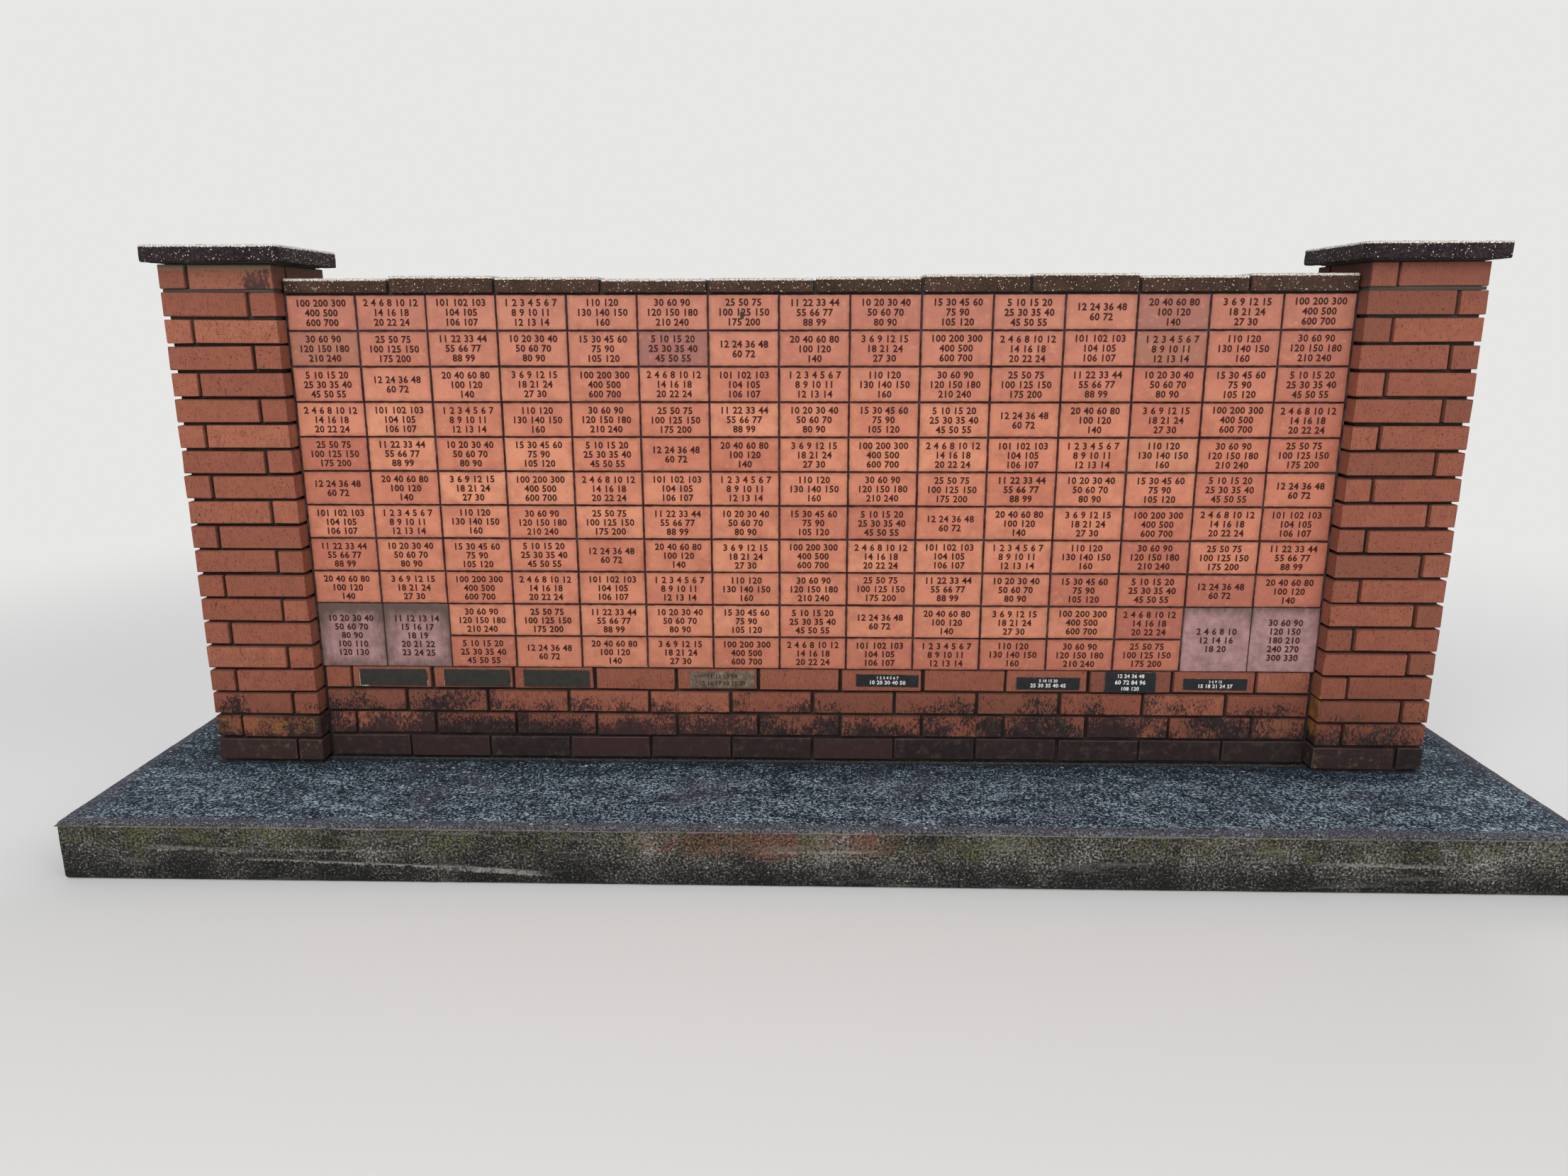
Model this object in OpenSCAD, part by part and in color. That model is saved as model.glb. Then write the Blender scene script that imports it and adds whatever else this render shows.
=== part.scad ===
// Brick garden wall: one bay of tablet-faced wall between two square piers.
// It stands on a concrete plinth with a tooled edge.
// Millimetres, Z up. The front faces -Y.
// The origin is the centre of the plinth's underside.

/* [Bricks] */
// Length of a whole brick
brick_l = 247.6; // [190:0.1:300]
// Depth of a brick into the wall
brick_d = 76.2; // [60:0.1:115]
// Height of a brick
brick_h = 66.7; // [50:0.1:90]
// Bed joint between two courses
bed_joint = 9.5; // [6:0.1:14]
// Upright joint between two bricks
head_joint = 10; // [6:0.1:14]
// How far the raked joints lie behind the brick faces
rake = 14; // [4:0.5:20]

/* [Tablets] */
// Length of a tablet
tablet_l = 203.2; // [150:0.1:250]
// Height of a tablet
tablet_h = 100; // [70:0.1:130]
// Thickness of a tablet
tablet_t = 57.2; // [30:0.1:75]
// Thin joint between two tablets
tablet_joint = 3.2; // [2:0.1:8]
// How far the thin joints lie behind the tablet faces
tablet_rake = 4; // [1:0.5:12]
// Tablets along one row
tablet_columns = 15; // [6:1:20]
// Square tablets at each end of the lowest rows
square_columns = 2; // [1:1:2]
// Joint where the wall meets a pier
side_joint = 7.2; // [4:0.1:20]
// Arris worn round the tablet faces
tablet_arris = 1.2; // [0.5:0.1:3]

/* [Wall] */
// Brick courses under the tablets
base_count = 4; // [2:1:8]
// How far the wall's faces stand back from the piers' faces
set_back = 47; // [20:1:80]

/* [Coping] */
// Height of the tallest coping block
coping_t = 50.8; // [35:0.1:80]
// How far the lowest block's top lies below the tallest one's
coping_step = 13; // [0:0.5:15]
// How far the coping stands out over the wall's faces
coping_reach = 8; // [2:0.5:18]
// Mortar bed under the coping
coping_bed = 8; // [4:0.5:15]
// Joint between two coping blocks
coping_joint = 6; // [3:0.5:12]
// Worn arris of the coping blocks
coping_arris = 4; // [1:0.5:10]

/* [Caps] */
// Height of a pier cap
cap_t = 50.8; // [35:0.1:90]
// How far a cap stands out over its pier
cap_reach = 36.3; // [20:0.1:60]
// Mortar bed under a cap
cap_bed = 5; // [3:0.5:12]
// Worn arris of a cap
cap_arris = 6; // [1:0.5:15]

/* [Plinth] */
// Height of the plinth
plinth_h = 178; // [100:1:400]
// How far the plinth runs on in front of the piers
plinth_front = 442; // [150:1:700]
// How far the plinth runs on past each pier's side
plinth_side = 244; // [80:1:500]
// Radius of the tooled edge round the plinth's top
edge_r = 12; // [4:0.5:25]
// Height of the fin of cement paste under the tooled edge
fin_h = 3; // [2:0.5:6]
// How far the fin stands out
fin_reach = 2; // [0.5:0.5:4]

/* [Hidden] */

$fn = 48;

// Each name in NODES is one row or block, so these two counts stay as they are
ROWS = 11;
COPING_BLOCKS = 10;
// Rows that the square tablets cover
SQUARE_ROWS = 2;
// How low each coping block's top lies, as a share of the greatest step
COPING_SEATS = [0.8, 0.3, 0.6, 1, 0.9, 0.7, 0.2, 0, 0.5, 0.1];

course_h = brick_h + bed_joint;
row_h = tablet_h + tablet_joint;
column_w = tablet_l + tablet_joint;
square_h = SQUARE_ROWS * row_h - tablet_joint;

pier_w = brick_l + head_joint + brick_d;
wall_t = pier_w - 2 * set_back;
clear_w = tablet_columns * column_w - tablet_joint + 2 * side_joint;
pier_x = (clear_w + pier_w) / 2;

base_h = base_count * course_h;
field_h = ROWS * row_h;
wall_h = base_h + field_h;
coping_z = plinth_h + wall_h + coping_bed;
coping_top = wall_h + coping_bed + coping_t;
coping_l = (clear_w - (COPING_BLOCKS + 1) * coping_joint) / COPING_BLOCKS;
// The mortar between two blocks stays below the lowest one's arris
joint_fill_h = coping_t - coping_step - 1.5 * coping_arris;

// The piers run up to the first course that clears the coping
pier_courses = ceil(coping_top / course_h);
pier_h = pier_courses * course_h + cap_bed;

// The back leaf fills the wall's height with whole courses and one cut course
back_courses_n = floor(wall_h / course_h);
back_left = wall_h - back_courses_n * course_h;

plinth_w = clear_w + 2 * pier_w + 2 * plinth_side;
plinth_d = pier_w + 2 * plinth_front;

// Columns left for the plain tablets in the rows beside the squares
inner_columns = tablet_columns - 2 * square_columns;

// A block centred on X and Y whose arrises are worn back by c
module worn_block(l, d, h, c) {
    intersection() {
        rotate([90, 0, 0]) linear_extrude(d, center = true) worn_side(l, h, c);
        rotate([90, 0, 90]) linear_extrude(l, center = true) worn_side(d, h, c);
        linear_extrude(h) worn_plan(l, d, c);
    }
}

// Side view of a worn block, from its underside up
module worn_side(w, h, c) {
    polygon([
        [-w / 2, c / 2], [-w / 2 + c / 2, 0], [w / 2 - c / 2, 0], [w / 2, c / 2],
        [w / 2, h - c], [w / 2 - c, h], [-w / 2 + c, h], [-w / 2, h - c]
    ]);
}

// Plan of a worn block
module worn_plan(w, d, c) {
    polygon([
        [-w / 2 + c, -d / 2], [w / 2 - c, -d / 2], [w / 2, -d / 2 + c], [w / 2, d / 2 - c],
        [w / 2 - c, d / 2], [-w / 2 + c, d / 2], [-w / 2, d / 2 - c], [-w / 2, -d / 2 + c]
    ]);
}

// Profile of the plinth, w wide: a tooled round over a thin fin of cement paste
module plinth_profile(w) {
    fin_z = plinth_h - edge_r - fin_h;
    translate([-w / 2, 0]) square([w, plinth_h - edge_r]);
    translate([-w / 2 + edge_r, 0]) square([w - 2 * edge_r, plinth_h]);
    for (side = [-1, 1])
        translate([side * (w / 2 - edge_r), plinth_h - edge_r]) circle(edge_r);
    translate([-w / 2 - fin_reach, fin_z]) square([w + 2 * fin_reach, fin_h]);
}

// The cast slab that carries the whole wall
module plinth() {
    color("#6f6f66") intersection() {
        rotate([90, 0, 0]) linear_extrude(plinth_d + 2 * fin_reach, center = true)
            plinth_profile(plinth_w);
        rotate([90, 0, 90]) linear_extrude(plinth_w + 2 * fin_reach, center = true)
            plinth_profile(plinth_d);
    }
}

// Brickwork in bed joints raked back on the sides given by rake_x and rake_y
module raked_courses(l, d, count, rake_x, rake_y) {
    translate([-l / 2 + rake_x, -d / 2 + rake_y[0], 0])
        cube([l - 2 * rake_x, d - rake_y[0] - rake_y[1], count * course_h]);
    for (i = [0:count - 1])
        translate([-l / 2, -d / 2, i * course_h + bed_joint]) cube([l, d, brick_h]);
}

// A square pier with its joints raked on all four sides
module pier(side) {
    color("#9c5340") translate([side * pier_x, 0, plinth_h]) {
        raked_courses(pier_w, pier_w, pier_courses, rake, [rake, rake]);
        translate([-pier_w / 2 + rake, -pier_w / 2 + rake, 0])
            cube([pier_w - 2 * rake, pier_w - 2 * rake, pier_h]);
    }
}

// A flat concrete cap that throws the rain clear of its pier
module pier_cap(side) {
    color("#5b504c") translate([side * pier_x, 0, plinth_h + pier_h])
        worn_block(pier_w + 2 * cap_reach, pier_w + 2 * cap_reach, cap_t, cap_arris);
}

// The front leaf of brick courses under the tablets
module base_courses() {
    color("#8a4a3a") translate([0, -wall_t / 2 + brick_d / 2, plinth_h])
        raked_courses(clear_w, brick_d, base_count, 0, [rake, 0]);
}

// The block core between the two faces: it steps forward behind the tablets
module block_core() {
    back = wall_t / 2 - brick_d;
    color("#77736c") {
        translate([-clear_w / 2, -wall_t / 2 + brick_d, plinth_h])
            cube([clear_w, back + wall_t / 2 - brick_d, base_h]);
        translate([-clear_w / 2, -wall_t / 2 + tablet_t, plinth_h + base_h])
            cube([clear_w, back + wall_t / 2 - tablet_t, field_h]);
    }
}

// The back leaf of plain brick courses
module back_courses() {
    color("#8a4a3a") translate([0, wall_t / 2 - brick_d / 2, plinth_h]) {
        raked_courses(clear_w, brick_d, back_courses_n, 0, [0, rake]);
        if (back_left > 0)
            translate([-clear_w / 2, -brick_d / 2, back_courses_n * course_h])
                cube([clear_w, brick_d - rake, back_left]);
        if (back_left > bed_joint)
            translate([-clear_w / 2, -brick_d / 2, back_courses_n * course_h + bed_joint])
                cube([clear_w, brick_d, back_left - bed_joint]);
    }
}

// One tablet, its face towards -Y and its lower left back corner at the origin
module tablet(l, h) {
    translate([l / 2, 0, h / 2]) rotate([90, 0, 0]) intersection() {
        rotate([90, 0, 0]) linear_extrude(h, center = true) tablet_section(l);
        rotate([90, 0, 90]) linear_extrude(l, center = true) tablet_section(h);
    }
}

// Section of a tablet, w wide, with its face arrises worn
module tablet_section(w) {
    polygon([
        [-w / 2, 0], [w / 2, 0], [w / 2, tablet_t - tablet_arris],
        [w / 2 - tablet_arris, tablet_t], [-w / 2 + tablet_arris, tablet_t],
        [-w / 2, tablet_t - tablet_arris]
    ]);
}

// X of the left edge of a tablet, counted from 0 at the left pier
function column_x(i) = -clear_w / 2 + side_joint + i * column_w;

// Tablets in one bed of mortar, from column first on, with the mortar from x0 to x1
module tablet_bed(first, count, h, x0, x1) {
    back_y = -wall_t / 2 + tablet_t;
    translate([x0, -wall_t / 2 + tablet_rake, 0])
        cube([x1 - x0, tablet_t - tablet_rake, h + tablet_joint]);
    for (i = [first:first + count - 1])
        translate([column_x(i), back_y, tablet_joint]) tablet(tablet_l, h);
}

// One row of tablets in stack bond, counted from 1 at the bottom
module tablet_row(n) {
    beside = n <= SQUARE_ROWS;
    first = beside ? square_columns : 0;
    count = beside ? inner_columns : tablet_columns;
    x0 = beside ? column_x(first) - tablet_joint : -clear_w / 2;
    x1 = beside ? column_x(first + count) : clear_w / 2;
    color("#b9694b") translate([0, 0, plinth_h + base_h + (n - 1) * row_h])
        tablet_bed(first, count, tablet_h, x0, x1);
}

// The larger tablets beside a pier, as high as the rows next to them
module square_tablets(side) {
    first = side < 0 ? 0 : tablet_columns - square_columns;
    x0 = side < 0 ? -clear_w / 2 : column_x(first);
    x1 = side < 0 ? column_x(square_columns) - tablet_joint : clear_w / 2;
    color("#9a7470") translate([0, 0, plinth_h + base_h])
        tablet_bed(first, square_columns, square_h, x0, x1);
}

// Mortar of the coping from x0 to x1, h high over the bed's underside
module coping_mortar(x0, x1, h) {
    bed_d = wall_t - 2 * rake;
    translate([x0, -bed_d / 2, coping_z - coping_bed]) cube([x1 - x0, bed_d, h]);
}

// One block of the coping, counted from 1 at the left pier, with the mortar under it and,
// set back, in the joint on its left. The mortar closes round the block's worn edges.
module coping_block(n) {
    left_x = -clear_w / 2 + coping_joint + (n - 1) * (coping_l + coping_joint);
    right_x = left_x + coping_l;
    end_joint = n == COPING_BLOCKS ? coping_joint : 0;
    h = coping_t - coping_step * COPING_SEATS[n - 1];
    color("#5b504c") {
        translate([left_x + coping_l / 2, 0, coping_z])
            worn_block(coping_l, wall_t + 2 * coping_reach, h, coping_arris);
        coping_mortar(left_x - coping_joint, right_x + end_joint, coping_bed + coping_arris / 2);
        coping_mortar(left_x - coping_joint, left_x + coping_arris, coping_bed + joint_fill_h);
        if (end_joint > 0)
            coping_mortar(right_x - coping_arris, right_x + end_joint, coping_bed + joint_fill_h);
    }
}

plinth();
pier(-1);  // left_pier
pier(1);  // right_pier
pier_cap(-1);  // left_pier_cap
pier_cap(1);  // right_pier_cap
base_courses();
block_core();
back_courses();
tablet_row(1);  // tablet_row_01
tablet_row(2);  // tablet_row_02
tablet_row(3);  // tablet_row_03
tablet_row(4);  // tablet_row_04
tablet_row(5);  // tablet_row_05
tablet_row(6);  // tablet_row_06
tablet_row(7);  // tablet_row_07
tablet_row(8);  // tablet_row_08
tablet_row(9);  // tablet_row_09
tablet_row(10);  // tablet_row_10
tablet_row(11);  // tablet_row_11
square_tablets(-1);  // left_square_tablets
square_tablets(1);  // right_square_tablets
coping_block(1);  // coping_block_01
coping_block(2);  // coping_block_02
coping_block(3);  // coping_block_03
coping_block(4);  // coping_block_04
coping_block(5);  // coping_block_05
coping_block(6);  // coping_block_06
coping_block(7);  // coping_block_07
coping_block(8);  // coping_block_08
coping_block(9);  // coping_block_09
coping_block(10);  // coping_block_10
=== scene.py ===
# %% [markdown]
# # Brick garden wall
# One bay of a free-standing wall: a field of clay tablets in stack bond, over four courses of
# long bricks, between two square piers with flat concrete caps. It all stands on a cast plinth.
# The solids of the part hold every size. This lesson dresses them: each brick and tablet is
# laid on its own, slightly out of true, because a wall looks real through its joints.

import math

import bmesh
import bpy
import numpy as np
from mathutils import Euler, Matrix, Vector


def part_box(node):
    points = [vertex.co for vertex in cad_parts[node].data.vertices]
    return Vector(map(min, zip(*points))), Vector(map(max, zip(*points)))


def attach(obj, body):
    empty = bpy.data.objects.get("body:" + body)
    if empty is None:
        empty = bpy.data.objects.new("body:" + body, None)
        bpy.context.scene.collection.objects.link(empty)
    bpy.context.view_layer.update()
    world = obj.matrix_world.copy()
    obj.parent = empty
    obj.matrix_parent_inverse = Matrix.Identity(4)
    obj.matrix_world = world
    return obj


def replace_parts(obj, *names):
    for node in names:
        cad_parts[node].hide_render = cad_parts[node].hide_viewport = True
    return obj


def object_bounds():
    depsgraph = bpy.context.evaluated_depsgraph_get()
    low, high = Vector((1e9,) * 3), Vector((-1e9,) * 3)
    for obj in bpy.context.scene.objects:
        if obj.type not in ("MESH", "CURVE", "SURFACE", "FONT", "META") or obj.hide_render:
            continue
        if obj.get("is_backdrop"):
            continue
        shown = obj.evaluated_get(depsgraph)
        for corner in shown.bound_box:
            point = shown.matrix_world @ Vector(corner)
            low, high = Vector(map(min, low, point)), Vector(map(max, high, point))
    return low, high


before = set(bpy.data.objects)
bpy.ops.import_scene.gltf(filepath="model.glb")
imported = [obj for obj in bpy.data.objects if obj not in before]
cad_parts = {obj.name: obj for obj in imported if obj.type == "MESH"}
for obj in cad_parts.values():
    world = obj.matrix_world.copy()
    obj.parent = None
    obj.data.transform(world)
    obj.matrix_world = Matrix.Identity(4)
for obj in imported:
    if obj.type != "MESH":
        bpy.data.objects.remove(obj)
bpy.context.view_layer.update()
scene = bpy.context.scene

plinth_low, plinth_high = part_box("plinth")
left_low, left_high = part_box("left_pier")
right_low, right_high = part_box("right_pier")
base_low, base_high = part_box("base_courses")
back_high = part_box("back_courses")[1]
print("wall between the piers:", round(right_low.x - left_high.x, 4), "m clear")

# %% [markdown]
# ## Sizes that the lesson shares
# The bricks are a long, low format, laid in 76 mm courses. The tablets are thinner and smoother,
# with joints of about 3 mm. All lengths are in metres, and the random numbers come from
# one seeded source, so that every run builds the same wall.

# %% Name the masonry sizes
BRICK_L, BRICK_D, BRICK_H = 0.2476, 0.0762, 0.0667
BED, HEAD = 0.0095, 0.010
COURSE = BRICK_H + BED
END_JOINT = 0.013
TABLET_L, TABLET_T, TABLET_H = 0.2032, 0.0572, 0.100
THIN_JOINT = 0.0032
TABLET_COLUMNS, TABLET_ROWS = 15, 11
SQUARE_H = 2 * TABLET_H + THIN_JOINT
FACE_Y = base_low.y
FIELD_X = -(TABLET_COLUMNS * (TABLET_L + THIN_JOINT) - THIN_JOINT) / 2
FIELD_Z = base_high.z
chance = np.random.default_rng(41)
print("front face at y", round(FACE_Y, 4), "and the field starts at z", round(FIELD_Z, 4))

# %% [markdown]
# ## Colours and node helper
# Colours are written as the sRGB hex values that a picture editor shows. Blender's shaders work in
# linear light, so one function turns them over. A second one adds a node with its
# settings and links in one call, which keeps each material short.

# %% Colour and node helpers
def linear(hex_colour):
    """sRGB hex to the linear colour that shaders use."""
    parts = [int(hex_colour[i:i + 2], 16) / 255 for i in (1, 3, 5)]
    return (*[c / 12.92 if c <= 0.04045 else ((c + 0.055) / 1.055) ** 2.4 for c in parts], 1.0)


def put(tree, kind, inputs=None, result=0, stops=(), **settings):
    """Adds one node and returns an output of it.

    Inputs are values or other nodes' outputs. The stops of a colour ramp name its two ends first.
    """
    node = tree.nodes.new(kind)
    for key, value in settings.items():
        setattr(node, key, value)
    if settings.get("data_type") == "RGBA":
        # a Mix node has one set of sockets for each kind of value, so colours go by number
        numbers = {"Factor": 0, "A": 6, "B": 7}
        inputs, result = {numbers[key]: value for key, value in inputs.items()}, 2
    for key, value in (inputs or {}).items():
        if isinstance(value, bpy.types.NodeSocket):
            tree.links.new(value, node.inputs[key])
        else:
            node.inputs[key].default_value = value
    for i, (at, colour) in enumerate(stops):
        ramp = node.color_ramp.elements
        stop = ramp[i] if i < len(ramp) else ramp.new(at)
        stop.position, stop.color = at, linear(colour)
    return node.outputs[result] if len(node.outputs) else node


def new_material(name):
    """An empty node tree with its output, its shader and the object's own coordinates."""
    material = bpy.data.materials.new(name)
    material.use_nodes = True
    tree = material.node_tree
    tree.nodes.clear()
    shader = put(tree, "ShaderNodeBsdfPrincipled").node
    put(tree, "ShaderNodeOutputMaterial", {"Surface": shader.outputs["BSDF"]})
    place = put(tree, "ShaderNodeTexCoord", result="Object")
    return material, tree, shader, place


print("white is", linear("#ffffff"), "and mid grey", [round(c, 3) for c in linear("#808080")])

# %% [markdown]
# ## Masks and coats
# A stain has a place and a tone. Its place is a mask from 0 to 1, often cut out of the height or
# the length of the wall. A finish is then built up as on a real wall: a base colour, and coats
# that cover it one after another. Gloss is the same all over a surface, so it is set on the
# shader's own sockets.

# %% Mask and coat helpers
def within(tree, value, start, end, soft):
    """1 where the value lies from start to end, fading out over soft beyond them."""
    away = put(tree, "ShaderNodeMath", {0: value, 1: (start + end) / 2}, operation="SUBTRACT")
    away = put(tree, "ShaderNodeMath", {0: away}, operation="ABSOLUTE")
    return put(tree, "ShaderNodeMapRange", {"Value": away, "From Min": (end - start) / 2,
                                            "From Max": (end - start) / 2 + soft,
                                            "To Min": 1.0, "To Max": 0.0})


def inside(tree, *spans):
    """1 inside all spans at once. A span is a value, its start, its end and its soft edge."""
    mask = within(tree, *spans[0])
    for span in spans[1:]:
        mask = put(tree, "ShaderNodeMath", {0: mask, 1: within(tree, *span)}, operation="MULTIPLY")
    return mask


def coated(tree, colour, *coats):
    """Lays coats over a colour in turn. A coat is its mask, and its hex value or colour."""
    for mask, tone in coats:
        tone = linear(tone) if isinstance(tone, str) else tone
        colour = put(tree, "ShaderNodeMix", {"Factor": mask, "A": colour, "B": tone},
                     data_type="RGBA")
    return colour


def dress(tree, shader, colour, roughness, specular, relief=()):
    """Wires up a shader. A relief is a pattern, its strength and its depth in metres."""
    tree.links.new(colour, shader.inputs["Base Color"])
    shader.inputs["Roughness"].default_value = roughness
    shader.inputs["Specular IOR Level"].default_value = specular
    if relief:
        pattern, strength, depth = relief
        bump = put(tree, "ShaderNodeBump", {"Height": pattern, "Strength": strength,
                                            "Distance": depth})
        tree.links.new(bump, shader.inputs["Normal"])


print("masks reach over the piers from x", round(left_low.x, 3), "to", round(right_high.x, 3))

# %% [markdown]
# ## Wire-cut facing brick
# The piers and courses are red-brown clay pushed through a die and cut by a wire. The drag leaves
# fine upright scratches, and iron in the clay leaves small dark flecks. Each brick was fired
# a little differently, so every brick carries a number called firing, which picks its tone. The
# same number shifts the patterns, so that no two bricks repeat each other.

# %% Fire the brick clay
def fired(tree, place):
    """The block's own firing, and coordinates that are shifted by it."""
    firing = put(tree, "ShaderNodeAttribute", result="Fac", attribute_name="firing")
    return firing, put(tree, "ShaderNodeVectorMath", {0: place, 1: firing}, operation="ADD")


BRICK_TONES = ((0.0, "#82503f"), (1.0, "#ab6a52"), (0.3, "#945744"), (0.7, "#9f5f4a"))


def wire_cut_clay(tree, firing, shift):
    """The clay as the kiln left it, and the two patterns that give its relief."""
    tone = put(tree, "ShaderNodeValToRGB", {"Fac": firing}, stops=BRICK_TONES)
    # clouds of 20 to 50 mm in the fired skin
    mottle = put(tree, "ShaderNodeTexNoise", {"Vector": shift, "Scale": 30.0, "Detail": 5.0,
                                              "Roughness": 0.65})
    cloud = put(tree, "ShaderNodeMapRange", {"Value": mottle, "From Min": 0.35, "From Max": 0.7,
                                             "To Max": 0.55})
    # scratches 1 to 2 mm wide and 20 mm long
    drag_place = put(tree, "ShaderNodeMapping", {"Vector": shift, "Scale": (1.0, 1.0, 0.14)})
    drag = put(tree, "ShaderNodeTexNoise", {"Vector": drag_place, "Scale": 380.0, "Detail": 4.0,
                                            "Roughness": 0.6})
    drag_mark = put(tree, "ShaderNodeMapRange", {"Value": drag, "From Min": 0.53, "From Max": 0.7,
                                                 "To Max": 0.6})
    # iron flecks of 3 mm
    fleck = put(tree, "ShaderNodeTexNoise", {"Vector": shift, "Scale": 170.0, "Detail": 3.0,
                                             "Roughness": 0.65})
    fleck_mark = put(tree, "ShaderNodeMapRange", {"Value": fleck, "From Min": 0.59,
                                                  "From Max": 0.66, "To Max": 0.8})
    clay = coated(tree, tone, (cloud, "#7f4b3c"), (drag_mark, "#5a3127"), (fleck_mark, "#452822"))
    return clay, drag, fleck


print("the brick clay is fired between", len(BRICK_TONES), "tones")

# %% [markdown]
# ## Soot on the bricks
# Rain splashes soot and soil up the wall. It dries as thousands of dark specks that run
# together lower down, so the mask is a fine noise cut off at a level that rises with height. The
# lowest course is black all over, the second in half and the third thinly. The soot is
# thicker towards the left end of the wall, thinner on the piers, and drips below the left cap.

# %% Splash up the soot
SOOT_WHOLE, SOOT_THIN = plinth_high.z + 0.09, plinth_high.z + 0.27


def splashed_soot(tree, place, shift, along, height, lowest):
    """The mask of the soot, and the pattern of its specks."""
    low = put(tree, "ShaderNodeMapRange", {"Value": height, "From Min": SOOT_WHOLE,
                                           "From Max": SOOT_THIN, "To Min": 0.9, "To Max": 0.16})
    leftward = put(tree, "ShaderNodeMapRange", {"Value": along, "From Min": -1.5, "From Max": -0.3,
                                                "To Min": 0.07, "To Max": 0.0})
    on_wall = within(tree, along, left_high.x, right_low.x, 0.02)
    on_wall = put(tree, "ShaderNodeMath", {0: on_wall, 1: 0.12, 2: -0.12},
                  operation="MULTIPLY_ADD")
    drip = inside(tree, (along, left_high.x - 0.075, left_high.x - 0.02, 0.025),
                  (height, left_high.z - 0.07, left_high.z - 0.02, 0.04))
    drip = put(tree, "ShaderNodeMath", {0: drip, 1: 0.5}, operation="MULTIPLY")
    patch = put(tree, "ShaderNodeTexNoise", {"Vector": shift, "Scale": 8.0, "Detail": 5.0,
                                             "Roughness": 0.6})
    cover = put(tree, "ShaderNodeMath", {0: patch, 1: 1.9, 2: -1.06}, operation="MULTIPLY_ADD")
    for more in (low, leftward, on_wall, lowest, drip):
        cover = put(tree, "ShaderNodeMath", {0: cover, 1: more}, operation="ADD")
    # specks of 3 mm are drawn at 6 mm, so that they show
    speck_place = put(tree, "ShaderNodeMapping", {"Vector": place, "Scale": (1.0, 1.0, 0.5)})
    speck = put(tree, "ShaderNodeTexNoise", {"Vector": speck_place, "Scale": 165.0, "Detail": 4.0,
                                             "Roughness": 0.8})
    soot = put(tree, "ShaderNodeMath", {0: speck, 1: 2.2, 2: cover}, operation="MULTIPLY_ADD")
    soot = put(tree, "ShaderNodeMapRange", {"Value": soot, "From Min": 1.56, "From Max": 1.76,
                                            "To Max": 0.94})
    return soot, speck


def grime_tone(tree, crust, firing):
    """Soot and soil, from black to brown, and redder on the brighter bricks."""
    grime = put(tree, "ShaderNodeValToRGB", {"Fac": crust},
                stops=((0.4, "#151619"), (0.7, "#4b413c"), (0.54, "#232023")))
    red = put(tree, "ShaderNodeMapRange", {"Value": firing, "From Min": 0.3, "From Max": 0.7,
                                           "To Max": 0.6})
    return coated(tree, grime, (red, "#38272a"))


print("soot thins out between z", round(SOOT_WHOLE, 3), "and", round(SOOT_THIN, 3))

# %% [markdown]
# ## Damp, and the arrises
# A film of damp darkens the lowest 0.3 m of the wall, most of all the last bricks at the right.
# The arrises, which are the bricks' edges, carry the dirt of the joints and a painted shade that
# makes the joints read wider; on the lowest course they are painted paler, as a highlight. They
# need no mask of their own: where the surface turns, its normal points squarely along none of the
# three axes.

# %% Dampen the bricks and find their arrises
def damp_film(tree, along, height):
    """The mask of the damp."""
    film = within(tree, along, right_low.x - 0.1, right_low.x + 0.2, 0.2)
    film_z = put(tree, "ShaderNodeMapRange", {"Value": height, "From Min": plinth_high.z + 0.1,
                                              "From Max": plinth_high.z + 0.34, "To Min": 0.5,
                                              "To Max": 0.0})
    film = put(tree, "ShaderNodeMath", {0: film, 1: 0.72, 2: 0.28}, operation="MULTIPLY_ADD")
    return put(tree, "ShaderNodeMath", {0: film, 1: film_z}, operation="MULTIPLY")


def arris_coat(tree, lowest):
    """Dirt and painted shade on the arrises; on the lowest course they are painted paler, as a
    highlight.
    """
    facing = put(tree, "ShaderNodeNewGeometry", result="Normal")
    facing = put(tree, "ShaderNodeVectorMath", {0: facing}, operation="ABSOLUTE")
    facing = put(tree, "ShaderNodeSeparateXYZ", {"Vector": facing}).node
    flat = put(tree, "ShaderNodeMath", {0: facing.outputs["X"], 1: facing.outputs["Y"]},
               operation="MAXIMUM")
    flat = put(tree, "ShaderNodeMath", {0: flat, 1: facing.outputs["Z"]}, operation="MAXIMUM")
    # dirt and painted shade darken the bevelled arrises
    arris = put(tree, "ShaderNodeMapRange", {"Value": flat, "From Min": 0.93, "From Max": 0.83,
                                             "To Max": 0.6})
    # on the lowest course the arrises are painted paler instead, a painted highlight
    lowest_arris_highlight = put(tree, "ShaderNodeMapRange", {"Value": lowest, "From Max": 0.4, "To Max": 1.0})
    return arris, coated(tree, linear("#3e2721"), (lowest_arris_highlight, "#5f4c43"))


print("damp rises to z", round(plinth_high.z + 0.34, 3))
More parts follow.
